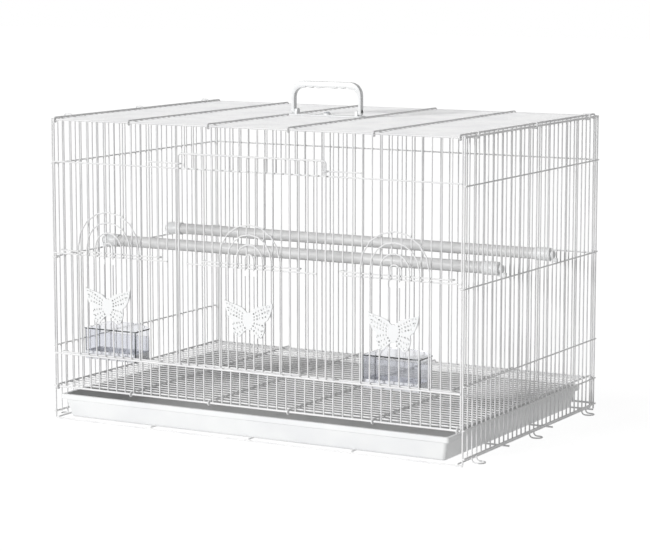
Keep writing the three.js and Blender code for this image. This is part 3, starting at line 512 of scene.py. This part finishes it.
def arch_door(bm, centre_x, pitch, wires_y, low, eye_x0, eye_x1, eye_y):
    """Four arches and two bars. The bars' eyes run round the wires at eye_x0 and eye_x1."""
    bar_y = wires_y + FINE_LAP
    for n in range(4):
        radius = (n + 0.5) * pitch
        foot = ARCH_BAR_Z - CATCH_GAP if n == 0 else low
        leg = ARCH_Z - foot
        draw_wire(bm, (centre_x - radius, wires_y, foot), (0, 0, 1),
                  [leg, ((0, 1, 0), radius, 180), leg], FINE)
        for x in (centre_x - radius, centre_x + radius):
            if n == 0:
                upright(bm, x, wires_y, low, ARCH_BAR_Z - 2 * CATCH_GAP, FINE)
            for z in (low + FINE / 2, ARCH_BAR_Z):
                weld_bead(bm, (x, (wires_y + bar_y) / 2, z))
    for z in (low + FINE / 2, ARCH_BAR_Z):
        bar_with_eyes(bm, eye_x0, eye_x1, bar_y, z, eye_y)
    put(bm, 0, 0, FRONT_Y)


for name, x, first, last in (("left", -SIDE_DOOR_X, 1, 12), ("right", SIDE_DOOR_X, 32, 43)):
    bm = bmesh.new()
    arch_door(bm, x, FRONT_PITCH, DOOR_Y, DOOR_LOW_Z, front_x(first), front_x(last), 0)
    hand_over(bm, name + "_arch_door_wires", name + "_door", [name + "_arch_door"], coated_wire)
bm = bmesh.new()
arch_door(bm, DOOR_CENTRE_X, DOOR_PITCH, CENTRE_ARCH_Y, CENTRE_ARCH_LOW_Z, door_x(3), door_x(14),
          DOOR_Y)
hand_over(bm, "centre_arch_door_wires", "centre_door", ["centre_arch_door"], coated_wire)

# Butterfly plates: thin white polypropylene mouldings, pierced between the veins, clipped to the
# front of each arched door
PLASTIC_LIGHT = "#f6f7f7"
PLASTIC_DULL = "#f0f1f2"
WING_WIDE = 36
WING_TALL = 47
PLATE_THICK = 2
PLATE_ROUND = 0.3
PLATE_Z = 160
PLATE_FORWARD = 3.3     # from the door's wires to the plate's front face
QUARTER_ARC = 0.5523    # handle that bends a spline into a quarter circle, for a radius of 1

# Moulded white polypropylene: satin, nearly even in tone, with the mould's fine eroded grain
white_plastic = two_tone("moulded_white_polypropylene", (PLASTIC_LIGHT, PLASTIC_DULL),
                         drift_mm=70, dimple_mm=0.6, dimple_deep=0.04, gloss=(0.34, 0.42),
                         extra={"IOR": 1.49})

# The wing's right half: each row is a point with the handles before and after it, in shares of
# the half width and of the height
WING_POINTS = [
    ((0.03, 0.24), (0.05, 0.2), (0.25, 0.42)),
    ((0.62, 0.38), (0.99, 0.5), (0.97, 0.3)),
    ((0.86, 0.02), (0.66, -0.04), (0.72, -0.22)),
    ((0.62, -0.44), (0.46, -0.49), (0.34, -0.52)),
    ((0.2, -0.3), (0.06, -0.26), (0.03, -0.28)),
]
# Rows of round holes along the veins: where each row starts and ends, and how many holes it has
WING_ROWS = [
    (8, 8.5, 27, 18.5, 6), (9, 4.5, 28.5, 13.5, 6), (9, 1, 25.5, 6, 5), (9, -3.5, 20.5, -5.5, 4),
    (7, -7, 19.5, -13, 4), (5, -10.5, 15.5, -18.5, 4),
]
WING_HOLE_R = 1.15
# Single holes near the edge: place and radius
WING_DOTS = [
    (31.5, 19.2, 0.8), (30.2, 14, 0.9), (29.2, 10.6, 0.8), (26.8, 18.6, 0.7), (22.3, -7.2, 0.8),
    (21.6, -12.2, 0.8), (19.4, -17, 0.8), (16.4, -20.9, 0.7),
]


def closed_spline(curve, points, scale_x, scale_y):
    """Adds a closed curve through (handle before, point, handle after) rows."""
    spline = curve.splines.new("BEZIER")
    spline.bezier_points.add(len(points) - 1)
    spline.use_cyclic_u = True
    for knot, row in zip(spline.bezier_points, points):
        before, here, after = [Vector((x * scale_x, y * scale_y, 0)) for x, y in row]
        knot.handle_left_type = knot.handle_right_type = "FREE"
        knot.co, knot.handle_left, knot.handle_right = here, before, after


def ring(x, y, radius):
    """A circle as a closed curve's rows."""
    k = QUARTER_ARC * radius
    return [
        ((x + radius, y - k), (x + radius, y), (x + radius, y + k)),
        ((x + k, y + radius), (x, y + radius), (x - k, y + radius)),
        ((x - radius, y + k), (x - radius, y), (x - radius, y - k)),
        ((x - k, y - radius), (x, y - radius), (x + k, y - radius)),
    ]


def plate_mesh(outlines, thick, rounding, resolution):
    """A flat plate in X and Z, its front face at Y = 0, with a rounded edge, from closed rows."""
    curve = bpy.data.curves.new("plate_outline", "CURVE")
    curve.dimensions = "2D"
    curve.fill_mode = "BOTH"
    curve.resolution_u = resolution
    curve.extrude = thick / 2 - rounding
    curve.bevel_depth = rounding
    curve.bevel_resolution = 1
    curve.offset = -rounding
    for points, scale_x, scale_y in outlines:
        closed_spline(curve, points, scale_x, scale_y)
    outline = bpy.data.objects.new("plate_outline", curve)
    mesh = bpy.data.meshes.new_from_object(outline)
    bpy.data.objects.remove(outline)
    bm = bmesh.new()
    bm.from_mesh(mesh)
    bpy.data.meshes.remove(mesh)
    bmesh.ops.remove_doubles(bm, verts=bm.verts, dist=0.001)
    bmesh.ops.rotate(bm, matrix=Matrix.Rotation(radians(90), 3, "X"), verts=bm.verts)
    bmesh.ops.translate(bm, vec=(0, thick / 2, 0), verts=bm.verts)
    return bm


def mirrored(points):
    """The other half of an outline, so that it runs on from the first."""
    return [tuple((-x, y) for x, y in reversed(row)) for row in reversed(points)]


for name, x, wires_y in (
    ("left", -SIDE_DOOR_X, DOOR_Y), ("right", SIDE_DOOR_X, DOOR_Y),
    ("centre", DOOR_CENTRE_X, CENTRE_ARCH_Y),
):
    outlines = [(WING_POINTS + mirrored(WING_POINTS), WING_WIDE, WING_TALL)]
    holes = [ring(*dot) for dot in WING_DOTS]
    for x0, y0, x1, y1, count in WING_ROWS:
        steps = [i / (count - 1) for i in range(count)]
        holes += [ring(x0 + (x1 - x0) * t, y0 + (y1 - y0) * t, WING_HOLE_R) for t in steps]
    for hole in holes:
        outlines += [(hole, 1, 1), (mirrored(hole), 1, 1)]
    bm = plate_mesh(outlines, PLATE_THICK, PLATE_ROUND, 4)
    bmesh.ops.translate(bm, vec=(x, FRONT_Y + wires_y - PLATE_FORWARD, PLATE_Z), verts=bm.verts)
    hand_over(bm, name + "_butterfly_plate", name + "_door", [name + "_butterfly"], white_plastic,
              20)

# Base rack: four straight rails on the floor and five runners welded across them, of thicker
# coated wire, on which the tray slides
BASE_WIRE = 2.4
RACK_RAILS = 4
RACK_RAIL_END = 303
RUNNER_XS = (-297.3, -150, 0, 150, 297.3)
RUNNER_OVER = 3         # how far a runner's ends stand past the front and the rear rail
RUNNER_Z = 3.9

for i in range(RACK_RAILS):
    bm = bmesh.new()
    crosswire(bm, -RACK_RAIL_END, RACK_RAIL_END, FRONT_Y + i * 2 * SIDE_HALF / (RACK_RAILS - 1),
              BASE_WIRE / 2, BASE_WIRE)
    hand_over(bm, "rack_rail_%d" % (i + 1), "cage", ["base_cross_rail_%d" % (i + 1)], coated_wire)
for i, x in enumerate(RUNNER_XS):
    bm = bmesh.new()
    draw_wire(bm, (x, FRONT_Y - RUNNER_OVER, RUNNER_Z), (0, 1, 0),
              [BACK_Y - FRONT_Y + 2 * RUNNER_OVER], BASE_WIRE)
    hand_over(bm, "rack_runner_%d" % (i + 1), "cage", ["base_runner_%d" % (i + 1)], coated_wire)

# Tray: one polypropylene moulding with sloping walls, a turned-down rim and a floor that is raised
# a little inside its edge. It slides out to the front.
TRAY_HALF_X = 289.5
TRAY_HALF_Y = 201.5
TRAY_X = -3.5
TRAY_Y = -1.145
TRAY_LOW_Z = 5.4
TRAY_RIM_Z = 35.5
TRAY_LIP = 7
TRAY_RIM_OUT = 5
TRAY_TAPER = 6
TRAY_CORNER = 9
TRAY_WALL = 2
TRAY_FOOT_ROUND = 2.5
TRAY_PANEL_IN = 16
TRAY_PANEL_SLOPE = 2
TRAY_PANEL_UP = 0.8
TRAY_EDGE_ROUND = 0.5
# Painted shade: light grey tones for the inside of the white pan, standing in for the shade under
# the grate
PAN_PAINTED_SHADE = "#c8c8c8"
PAN_PAINTED_SHADE_DULL = "#bebebe"


def round_edges(bm, edges, size, segments):
    """Rounds some edges of a drawn piece in its own mesh."""
    bmesh.ops.bevel(bm, geom=edges, offset=size, segments=segments, profile=0.5, affect="EDGES",
                    material=-1)


def rounded_block(bm, low, high, corner, segments):
    """A block between two corners whose upright edges are rounded. Returns its new vertices."""
    before = set(bm.verts)
    size = Vector(high) - Vector(low)
    middle = (Vector(high) + Vector(low)) / 2
    made = bmesh.ops.create_cube(bm, size=1, matrix=Matrix.Translation(middle)
                                 @ Matrix.Diagonal((*size, 1)))["verts"]
    if corner:
        edges = {e for v in made for e in v.link_edges}
        standing = [e for e in edges if abs((e.verts[0].co - e.verts[1].co).z) > size.z / 2]
        round_edges(bm, standing, corner, segments)
    return [v for v in bm.verts if v not in before]


def outer_face(bm, pick):
    """The lowest face for min, or the highest for max."""
    return pick(bm.faces, key=lambda face: face.calc_center_median().z)


def soften_edges(piece, size, from_angle):
    """The small rounding that a mould leaves on every sharp edge."""
    edge = piece.modifiers.new("moulded_edge", "BEVEL")
    edge.width = size * MM
    edge.segments = 2
    edge.limit_method = "ANGLE"
    edge.angle_limit = radians(from_angle)


def give_painted_shade(piece, material, picks):
    """Gives a piece's second material, a painted shade, to the faces that picks says yes to."""
    piece.data.materials.append(material)
    for face in piece.data.polygons:
        if picks(face):
            face.material_index = 1


bm = bmesh.new()
pan_x, pan_y = TRAY_HALF_X - TRAY_RIM_OUT, TRAY_HALF_Y - TRAY_RIM_OUT
rounded_block(bm, (-pan_x, -pan_y, TRAY_LOW_Z), (pan_x, pan_y, TRAY_RIM_Z),
              TRAY_CORNER - TRAY_RIM_OUT, 6)
foot = [v for v in bm.verts if v.co.z < TRAY_RIM_Z - 1]
bmesh.ops.scale(bm, vec=(1 - TRAY_TAPER / pan_x, 1 - TRAY_TAPER / pan_y, 1), verts=foot)
floor_face = outer_face(bm, min)
foot_edges = list(floor_face.edges)
bmesh.ops.delete(bm, geom=[outer_face(bm, max)], context="FACES_ONLY")
for inward, up in ((TRAY_PANEL_IN, 0), (TRAY_PANEL_SLOPE, TRAY_PANEL_UP)):
    made = bmesh.ops.extrude_face_region(bm, geom=[floor_face])["geom"]
    if floor_face.is_valid:
        bmesh.ops.delete(bm, geom=[floor_face], context="FACES_ONLY")
    floor_face = next(g for g in made if isinstance(g, bmesh.types.BMFace))
    verts = [g for g in made if isinstance(g, bmesh.types.BMVert)]
    bmesh.ops.scale(bm, vec=(1 - inward / pan_x, 1 - inward / pan_y, 1), verts=verts)
    bmesh.ops.translate(bm, vec=(0, 0, up), verts=verts)
round_edges(bm, foot_edges, TRAY_FOOT_ROUND, 3)
mouth = [e for e in bm.edges if e.is_boundary]
for wide, drop in ((TRAY_RIM_OUT, 0), (0, TRAY_LIP)):
    made = bmesh.ops.extrude_edge_only(bm, edges=mouth)["geom"]
    verts = [g for g in made if isinstance(g, bmesh.types.BMVert)]
    bmesh.ops.scale(bm, vec=(1 + wide / pan_x, 1 + wide / pan_y, 1), verts=verts)
    bmesh.ops.translate(bm, vec=(0, 0, -drop), verts=verts)
    mouth = [e for e in bm.edges if e.is_boundary]
bmesh.ops.recalc_face_normals(bm, faces=bm.faces)
bmesh.ops.solidify(bm, geom=bm.faces[:], thickness=TRAY_WALL)
bmesh.ops.translate(bm, vec=(TRAY_X, TRAY_Y, 0), verts=bm.verts)
tray = hand_over(bm, "tray_moulding", "tray", ["tray"], white_plastic, 30)

# Painted shade on the inside of the pan: the white polypropylene is coloured light grey there for
# the shade under the grate, with the coarse grain of an eroded mould, dull beside the glossier
# white rim
pan_painted_shade = two_tone("grained_polypropylene_painted_pan_shade", (PAN_PAINTED_SHADE, PAN_PAINTED_SHADE_DULL), drift_mm=60,
                       dimple_mm=1.2, dimple_deep=0.15, gloss=(0.7, 0.8), extra={"IOR": 1.49})


# The pan's floor and inner walls, which get the painted shade
def gets_painted_pan_shade(face):
    x, y, z = face.center.x - TRAY_X * MM, face.center.y, face.center.z
    within = abs(x) < pan_x * MM and abs(y) < pan_y * MM and z < (TRAY_RIM_Z - 0.5) * MM
    faces_in = face.normal.x * x < -1e-4 or face.normal.y * y < -1e-4
    return within and (face.normal.z > 0.5 or faces_in)


give_painted_shade(tray, pan_painted_shade, gets_painted_pan_shade)
soften_edges(tray, TRAY_EDGE_ROUND, 40)

# Perches: moulded grey plastic rods, each held in two white caps. A lug on each cap goes between
# two uprights of the side panel and rests on its middle wire.
PERCH_R = 7.6
PERCH_Z = 230
PERCH_HALF = 293.7
PERCH_GREY = "#e3e3e3"
PERCH_DULL = "#dadada"
CAP_R = 8.7
CAP_FROM = 274.5
CAP_TO = 296.5
CAP_BORE = 7.8
CAP_SOCKET = 294
NUB_R = 5
NUB_TO = 301.3
LUG_TO = 306.35
LUG_WIDE = 3.6
LUG_LOW_Z = 220.3
LUG_HIGH_Z = 225.3
LUG_ROUND = 0.8
PERCH_YS = {"front": -85.35, "rear": 71.42}
ROUND_STEPS = 32

# Moulded light grey polypropylene: a little duller and softer in gloss than the white parts
perch_plastic = two_tone("moulded_grey_polypropylene", (PERCH_GREY, PERCH_DULL), drift_mm=30,
                         dimple_mm=0.8, dimple_deep=0.05, gloss=(0.42, 0.52), extra={"IOR": 1.49})


def lathe(bm, points, centre, axis, steps):
    """Turns a row of points a full round about an axis through the centre."""
    verts = [bm.verts.new(point) for point in points]
    edges = [bm.edges.new(pair) for pair in zip(verts, verts[1:])]
    bmesh.ops.spin(bm, geom=verts + edges, cent=centre, axis=axis, angle=2 * pi, steps=steps,
                   use_merge=True, use_duplicate=False)
    bmesh.ops.remove_doubles(bm, verts=bm.verts, dist=0.001)


def turned(bm, profile, y, z, steps):
    """Turns (x, radius) points about a line along X."""
    lathe(bm, [(x, y + radius, z) for x, radius in profile], (0, y, z), (1, 0, 0), steps)


for place, y in PERCH_YS.items():
    bm = bmesh.new()
    turned(bm, [(-PERCH_HALF, 0), (-PERCH_HALF, PERCH_R - 0.4), (-PERCH_HALF + 0.4, PERCH_R),
                (PERCH_HALF - 0.4, PERCH_R), (PERCH_HALF, PERCH_R - 0.4), (PERCH_HALF, 0)],
           y, PERCH_Z, ROUND_STEPS)
    hand_over(bm, place + "_perch_dowel", "cage", [place + "_perch_rod"], perch_plastic)
    for side_name, side in (("left", -1), ("right", 1)):
        bm = bmesh.new()
        profile = [
            (CAP_SOCKET, 0), (CAP_SOCKET, CAP_BORE), (CAP_FROM, CAP_BORE), (CAP_FROM, CAP_R - 0.6),
            (CAP_FROM + 0.2, CAP_R - 0.2), (CAP_FROM + 0.7, CAP_R), (CAP_TO - 0.9, CAP_R),
            (CAP_TO - 0.3, CAP_R - 0.2), (CAP_TO, CAP_R - 0.8), (CAP_TO, NUB_R + 0.5),
            (CAP_TO + 0.5, NUB_R), (NUB_TO - 0.8, NUB_R), (NUB_TO - 0.2, NUB_R - 0.3),
            (NUB_TO, NUB_R - 0.9), (NUB_TO, 0),
        ]
        turned(bm, profile, y, PERCH_Z, ROUND_STEPS)
        rounded_block(bm, (CAP_TO - 1, y - LUG_WIDE / 2, LUG_LOW_Z),
                      (LUG_TO, y + LUG_WIDE / 2, LUG_HIGH_Z), LUG_ROUND, 2)
        if side < 0:
            bmesh.ops.scale(bm, vec=(-1, 1, 1), verts=bm.verts)
        name = place + "_perch_" + side_name
        hand_over(bm, name + "_end_cap", "cage", [name + "_cap"], white_plastic)

# Feeders: clear polystyrene cups, each hung by a lip on the lower rail inside a side door, with a
# clear arched hood that is open at the back for the bird
CUP_LEFT_ENDS = {"left": -255.89, "right": 162.84}
CUP_LONG = 81.2
CUP_Y0 = 1.3
CUP_DEEP = 34
CUP_LOW_Z = 86
CUP_HIGH_Z = 126
CUP_BACK_Z = 117
CUP_WALL = 1.6
CUP_CORNER = 2.5
CUP_FOOT_ROUND = 1.5
LIP_INSET = 2.1
LIP_Y0 = -2.05
LIP_LOW_Z = 92
LIP_HIGH_Z = 94
LIP_ROUND = 0.6
HOOD_LOW_Z = 126.15
HOOD_RISE = 7
CLEAR_TINT = "#ecedf1"
# Dark tint that paints shade on the clear plastic's corners and rims
EDGE_PAINTED_SHADE = "#54585b"
ETCHED_DARK = "#8d9093"
FLOW_WAVE_MM = 14
BAND_TOP_Z = 97.5
BAND_FADE = 0.5
BAND_GRAIN_MM = 2.6     # coarser than real etching, which would be too fine to show
PIP_FROM = 0.2          # of a grain's width: where its dark pip starts and has faded
PIP_TO = 0.3


def clear_moulding(name, tint):
    """Clear plastic with flow waves, and a grained band at the foot where the mould is etched."""
    material = bpy.data.materials.new(name)
    material.use_nodes = True
    tree = material.node_tree
    tree.nodes.clear()
    place = add_node(tree, "ShaderNodeTexCoord", {}, {}).outputs["Object"]
    height = add_node(tree, "ShaderNodeSeparateXYZ", {}, {"Vector": place})
    band = add_node(tree, "ShaderNodeMapRange", {
        "From Min": BAND_TOP_Z * MM, "From Max": (BAND_TOP_Z - BAND_FADE) * MM,
    }, {"Value": height.outputs["Z"]})
    grain = add_node(tree, "ShaderNodeTexVoronoi", {"Scale": 1 / (BAND_GRAIN_MM * MM)},
                     {"Vector": place})
    pips = add_node(tree, "ShaderNodeMapRange", {
        "From Min": PIP_FROM, "From Max": PIP_TO, "To Min": 1, "To Max": 0,
    }, {"Value": grain.outputs["Distance"]})
    dark = add_node(tree, "ShaderNodeMath", {"operation": "MULTIPLY"},
                    {0: pips.outputs["Result"], 1: band.outputs["Result"]})
    colour = add_node(tree, "ShaderNodeMix", {
        "data_type": "RGBA", 6: linear(tint), 7: linear(ETCHED_DARK),
    }, {0: dark.outputs[0]})
    waves = add_node(tree, "ShaderNodeTexNoise", {"Scale": 1 / (FLOW_WAVE_MM * MM), "Detail": 1},
                     {"Vector": place})
    bump = add_node(tree, "ShaderNodeBump", {"Strength": 0.25, "Distance": 0.15 * MM},
                    {"Height": waves.outputs["Fac"]})
    rough = add_node(tree, "ShaderNodeMapRange", {"To Min": 0.03, "To Max": 0.5},
                     {"Value": band.outputs["Result"]})
    clearness = add_node(tree, "ShaderNodeMapRange", {"To Min": 1, "To Max": 0.1},
                         {"Value": band.outputs["Result"]})
    shader = add_node(tree, "ShaderNodeBsdfPrincipled", {"IOR": 1.49}, {
        "Base Color": colour.outputs[2], "Normal": bump.outputs["Normal"],
        "Roughness": rough.outputs["Result"], "Transmission Weight": clearness.outputs["Result"],
    })
    add_node(tree, "ShaderNodeOutputMaterial", {}, {"Surface": shader.outputs[0]})
    return material


# Clear injection-moulded polystyrene: water-clear with hard gloss, and the faint flow waves that
# bend what is seen through it
clear_plastic = clear_moulding("clear_moulded_polystyrene", CLEAR_TINT)
# The same polystyrene with a dark tint at corners and rims: painted shade for how the wall looks
# darker where the eye looks along it
clear_plastic_painted_edge_shade = clear_moulding("clear_polystyrene_painted_edge_shade", EDGE_PAINTED_SHADE)


# Faces that get the painted edge shade: the cup's upright corners and the hood's rear rim
def on_upright_corner(face):
    return abs(face.normal.x) > 0.2 and abs(face.normal.y) > 0.2 and abs(face.normal.z) < 0.4


def on_rear_rim(face):
    return face.normal.y > 0.7


for name, x0 in CUP_LEFT_ENDS.items():
    x1 = x0 + CUP_LONG
    bm = bmesh.new()
    rounded_block(bm, (x0, CUP_Y0, CUP_LOW_Z), (x1, CUP_Y0 + CUP_DEEP, CUP_HIGH_Z), CUP_CORNER, 4)
    foot_edges = list(outer_face(bm, min).edges)
    bmesh.ops.delete(bm, geom=[outer_face(bm, max)], context="FACES_ONLY")
    bmesh.ops.bisect_plane(bm, geom=bm.verts[:] + bm.edges[:] + bm.faces[:],
                           plane_co=(0, 0, CUP_BACK_Z), plane_no=(0, 0, 1))
    over_back = [f for f in bm.faces if f.calc_center_median().z > CUP_BACK_Z
                 and f.calc_center_median().y > CUP_Y0 + CUP_DEEP - 0.01]
    bmesh.ops.delete(bm, geom=over_back, context="FACES")
    round_edges(bm, [e for e in foot_edges if e.is_valid], CUP_FOOT_ROUND, 3)
    bmesh.ops.recalc_face_normals(bm, faces=bm.faces)
    bmesh.ops.solidify(bm, geom=bm.faces[:], thickness=CUP_WALL)
    rounded_block(bm, (x0 + LIP_INSET, LIP_Y0, LIP_LOW_Z),
                  (x1 - CUP_CORNER, CUP_Y0 - 0.02, LIP_HIGH_Z), LIP_ROUND, 2)
    put(bm, 0, 0, FRONT_Y)
    cup = hand_over(bm, name + "_clear_cup", name + "_feeder", [name + "_feeder_cup"],
                    clear_plastic)
    give_painted_shade(cup, clear_plastic_painted_edge_shade, on_upright_corner)

    # The hood is low and level along its front and rises to a wide arch at the back
    bm = bmesh.new()
    bmesh.ops.create_grid(bm, x_segments=24, y_segments=4, size=1)
    for vert in bm.verts:
        across, back = vert.co.x, (vert.co.y + 1) / 2
        vert.co = (x0 + CUP_LONG * (across + 1) / 2, CUP_Y0 + CUP_DEEP * back,
                   CUP_WALL + (HOOD_RISE - CUP_WALL) * back * (1 - across ** 4))
    bmesh.ops.recalc_face_normals(bm, faces=bm.faces)
    bmesh.ops.solidify(bm, geom=bm.faces[:], thickness=CUP_WALL)
    bmesh.ops.translate(bm, vec=(0, 0, HOOD_LOW_Z), verts=bm.verts)
    put(bm, 0, 0, FRONT_Y)
    hood = hand_over(bm, name + "_clear_hood", name + "_feeder", [name + "_feeder_hood"],
                     clear_plastic, 50)
    give_painted_shade(hood, clear_plastic_painted_edge_shade, on_rear_rim)

# Carry handle: a white polypropylene bow with finger waves under its grip. It folds down on two
# pins in a moulded base, which a screw clamps through the roof wires to a plate below them.
BOW_HALF = 53
BOW_TOP_Z = 450
BOW_LEG = 4.6
BOW_GRIP = 9
BOW_DEEP = 8
BOW_CORNER = 17
BOW_ROUND = 1.4
BOW_FOOT = 3            # how far the handles of the outline's ends reach past the pins
BOW_EASE = 5            # and those where a corner runs out into a straight
WAVE_DEEP = 1.6
PIVOT_Z = 410.45
PIN_R = 1.5
PIN_LONG = 3.5
PIN_CHAMFER = 0.3
EYE_CHAMFER = 0.5
BASE_HALF_X = 56
BASE_HALF_Y = 8
BASE_LOW_Z = 404.15
BASE_TOP_Z = 406.15
BASE_CORNER = 5
BASE_SINK = 0.5         # how far ears and boss reach down into the base
EAR_X0 = 44
EAR_X1 = 48
EAR_TOP_Z = 413.45
EAR_ROUND = 3
BOSS_R = 4.5
BOSS_DRAFT = 0.6
BOSS_TOP_Z = 408.15
CLAMP_CORNER = 4
CLAMP_HALF_X = 18
CLAMP_LOW_Z = 399.05
CLAMP_TOP_Z = 401.55
BASE_EDGE_ROUND = 0.35

inner_r = BOW_CORNER - BOW_LEG
leg_in = BOW_HALF - BOW_LEG
under = BOW_TOP_Z - BOW_GRIP
outer_x, outer_z = BOW_HALF - BOW_CORNER, BOW_TOP_Z - BOW_CORNER
inner_x, inner_z = leg_in - inner_r, under - inner_r
outer_arc, inner_arc = QUARTER_ARC * BOW_CORNER, QUARTER_ARC * inner_r
knots = [
    ((BOW_HALF, PIVOT_Z - BOW_FOOT), (BOW_HALF, PIVOT_Z), (BOW_HALF, PIVOT_Z + BOW_EASE)),
    ((BOW_HALF, outer_z - BOW_EASE), (BOW_HALF, outer_z), (BOW_HALF, outer_z + outer_arc)),
    ((outer_x + outer_arc, BOW_TOP_Z), (outer_x, BOW_TOP_Z), (outer_x - BOW_EASE, BOW_TOP_Z)),
]
wave = inner_x / 3
crest = under + WAVE_DEEP
middle = ((-wave / 5, crest), (0, crest), (wave / 5, crest))
inside = [((x - wave / 5, z), (x, z), (x + wave / 5, z)) for x, z in (
    (wave, under), (1.5 * wave, crest), (2 * wave, under), (2.5 * wave, crest),
)] + [
    ((inner_x - 2, under), (inner_x, under), (inner_x + inner_arc, under)),
    ((leg_in, inner_z + inner_arc), (leg_in, inner_z), (leg_in, inner_z - BOW_EASE)),
    ((leg_in, PIVOT_Z + BOW_EASE), (leg_in, PIVOT_Z), (leg_in, PIVOT_Z - BOW_FOOT)),
]
outline = knots + mirrored(knots) + mirrored(inside) + [middle] + inside
bm = plate_mesh([(outline, 1, 1)], BOW_DEEP, BOW_ROUND, 5)
bmesh.ops.translate(bm, vec=(0, -BOW_DEEP / 2, 0), verts=bm.verts)
for side in (-1, 1):
    eye_r, pin_tip = BOW_DEEP / 2, leg_in - PIN_LONG
    eye = [
        (leg_in, 0), (leg_in, eye_r - EYE_CHAMFER), (leg_in + EYE_CHAMFER, eye_r),
        (BOW_HALF - EYE_CHAMFER, eye_r), (BOW_HALF, eye_r - EYE_CHAMFER), (BOW_HALF, 0),
    ]
    pin = [
        (leg_in + 1, 0), (leg_in + 1, PIN_R), (pin_tip + PIN_CHAMFER, PIN_R),
        (pin_tip, PIN_R - PIN_CHAMFER), (pin_tip, 0),
    ]
    for profile, steps in ((eye, 24), (pin, 16)):
        turned(bm, [(side * x, radius) for x, radius in profile], 0, PIVOT_Z, steps)
put(bm, 0, 0, CENTRE_Y)
hand_over(bm, "carry_bow", "handle", ["carry_handle"], white_plastic, 35)

bm = bmesh.new()
rounded_block(bm, (-BASE_HALF_X, -BASE_HALF_Y, BASE_LOW_Z), (BASE_HALF_X, BASE_HALF_Y, BASE_TOP_Z),
              BASE_CORNER, 5)
foot_z = BASE_TOP_Z - BASE_SINK
for side in (-1, 1):
    x0, x1 = sorted((side * EAR_X0, side * EAR_X1))
    ear = rounded_block(bm, (x0, -BOW_DEEP / 2, foot_z), (x1, BOW_DEEP / 2, EAR_TOP_Z), 0, 0)
    edges = {e for v in ear for e in v.link_edges}
    along = [e for e in edges if abs((e.verts[0].co - e.verts[1].co).x) > 1
             and e.verts[0].co.z > PIVOT_Z]
    round_edges(bm, along, EAR_ROUND, 5)
bmesh.ops.create_cone(bm, cap_ends=True, segments=24, radius1=BOSS_R + BOSS_DRAFT, radius2=BOSS_R,
                      depth=BOSS_TOP_Z - foot_z,
                      matrix=Matrix.Translation((0, 0, (BOSS_TOP_Z + foot_z) / 2)))
put(bm, 0, 0, CENTRE_Y)
base = hand_over(bm, "handle_base_moulding", "cage", ["handle_base"], white_plastic,
                 35)
soften_edges(base, BASE_EDGE_ROUND, 50)

bm = bmesh.new()
rounded_block(bm, (-CLAMP_HALF_X, -BASE_HALF_Y, CLAMP_LOW_Z),
              (CLAMP_HALF_X, BASE_HALF_Y, CLAMP_TOP_Z), CLAMP_CORNER, 4)
put(bm, 0, 0, CENTRE_Y)
clamp = hand_over(bm, "clamp_plate_moulding", "cage", ["handle_clamp_plate"], white_plastic,
                  35)
soften_edges(clamp, BASE_EDGE_ROUND, 50)

# Screw and nut: steel with a thin zinc plating. The screw has a pan head with a dished recess and
# goes through base, roof wires and clamp plate into a hexagon nut.
SCREW_R = 1.9
SCREW_LOW_Z = 395.45
HEAD_R = 4
HEAD_LOW_Z = 408.45
HEAD_TOP_Z = 410.05
NUT_LOW_Z = 395.75
NUT_TOP_Z = 398.75
NUT_R = 4
NUT_CHAMFER = 0.4
NUT_BORE_R = 2.2
ZINC_BRIGHT = "#c9cccf"
ZINC_DULL = "#b4b8bc"

# Zinc-plated steel: cold grey metal with a soft broken gloss
zinc_steel = two_tone("zinc_plated_steel", (ZINC_BRIGHT, ZINC_DULL), drift_mm=3, dimple_mm=0.3,
                      dimple_deep=0.01, gloss=(0.28, 0.4), extra={"Metallic": 1})


def upended(bm, profile, steps):
    """Turns (radius, z) points about the screw's own line."""
    lathe(bm, [(radius, 0, z) for radius, z in profile], (0, 0, 0), (0, 0, 1), steps)


bm = bmesh.new()
upended(bm, [
    (0, SCREW_LOW_Z), (SCREW_R - 0.4, SCREW_LOW_Z), (SCREW_R, SCREW_LOW_Z + 0.5),
    (SCREW_R, HEAD_LOW_Z), (HEAD_R - 0.2, HEAD_LOW_Z), (HEAD_R, HEAD_LOW_Z + 0.2),
    (HEAD_R, HEAD_LOW_Z + 0.7), (HEAD_R - 0.5, HEAD_TOP_Z - 0.35), (HEAD_R - 1.6, HEAD_TOP_Z),
    (1.1, HEAD_TOP_Z), (0.8, HEAD_TOP_Z - 0.9), (0, HEAD_TOP_Z - 1.1),
], 24)
put(bm, 0, 0, CENTRE_Y)
hand_over(bm, "zinc_screw", "cage", ["handle_screw"], zinc_steel, 35)

bm = bmesh.new()
upended(bm, [
    (NUT_BORE_R, NUT_LOW_Z), (NUT_R - NUT_CHAMFER, NUT_LOW_Z), (NUT_R, NUT_LOW_Z + 0.35),
    (NUT_R, NUT_TOP_Z - 0.35), (NUT_R - NUT_CHAMFER, NUT_TOP_Z), (NUT_BORE_R, NUT_TOP_Z),
    (NUT_BORE_R, NUT_LOW_Z),
], 6)
put(bm, 0, 0, CENTRE_Y)
hand_over(bm, "zinc_nut", "cage", ["handle_nut"], zinc_steel, 30)
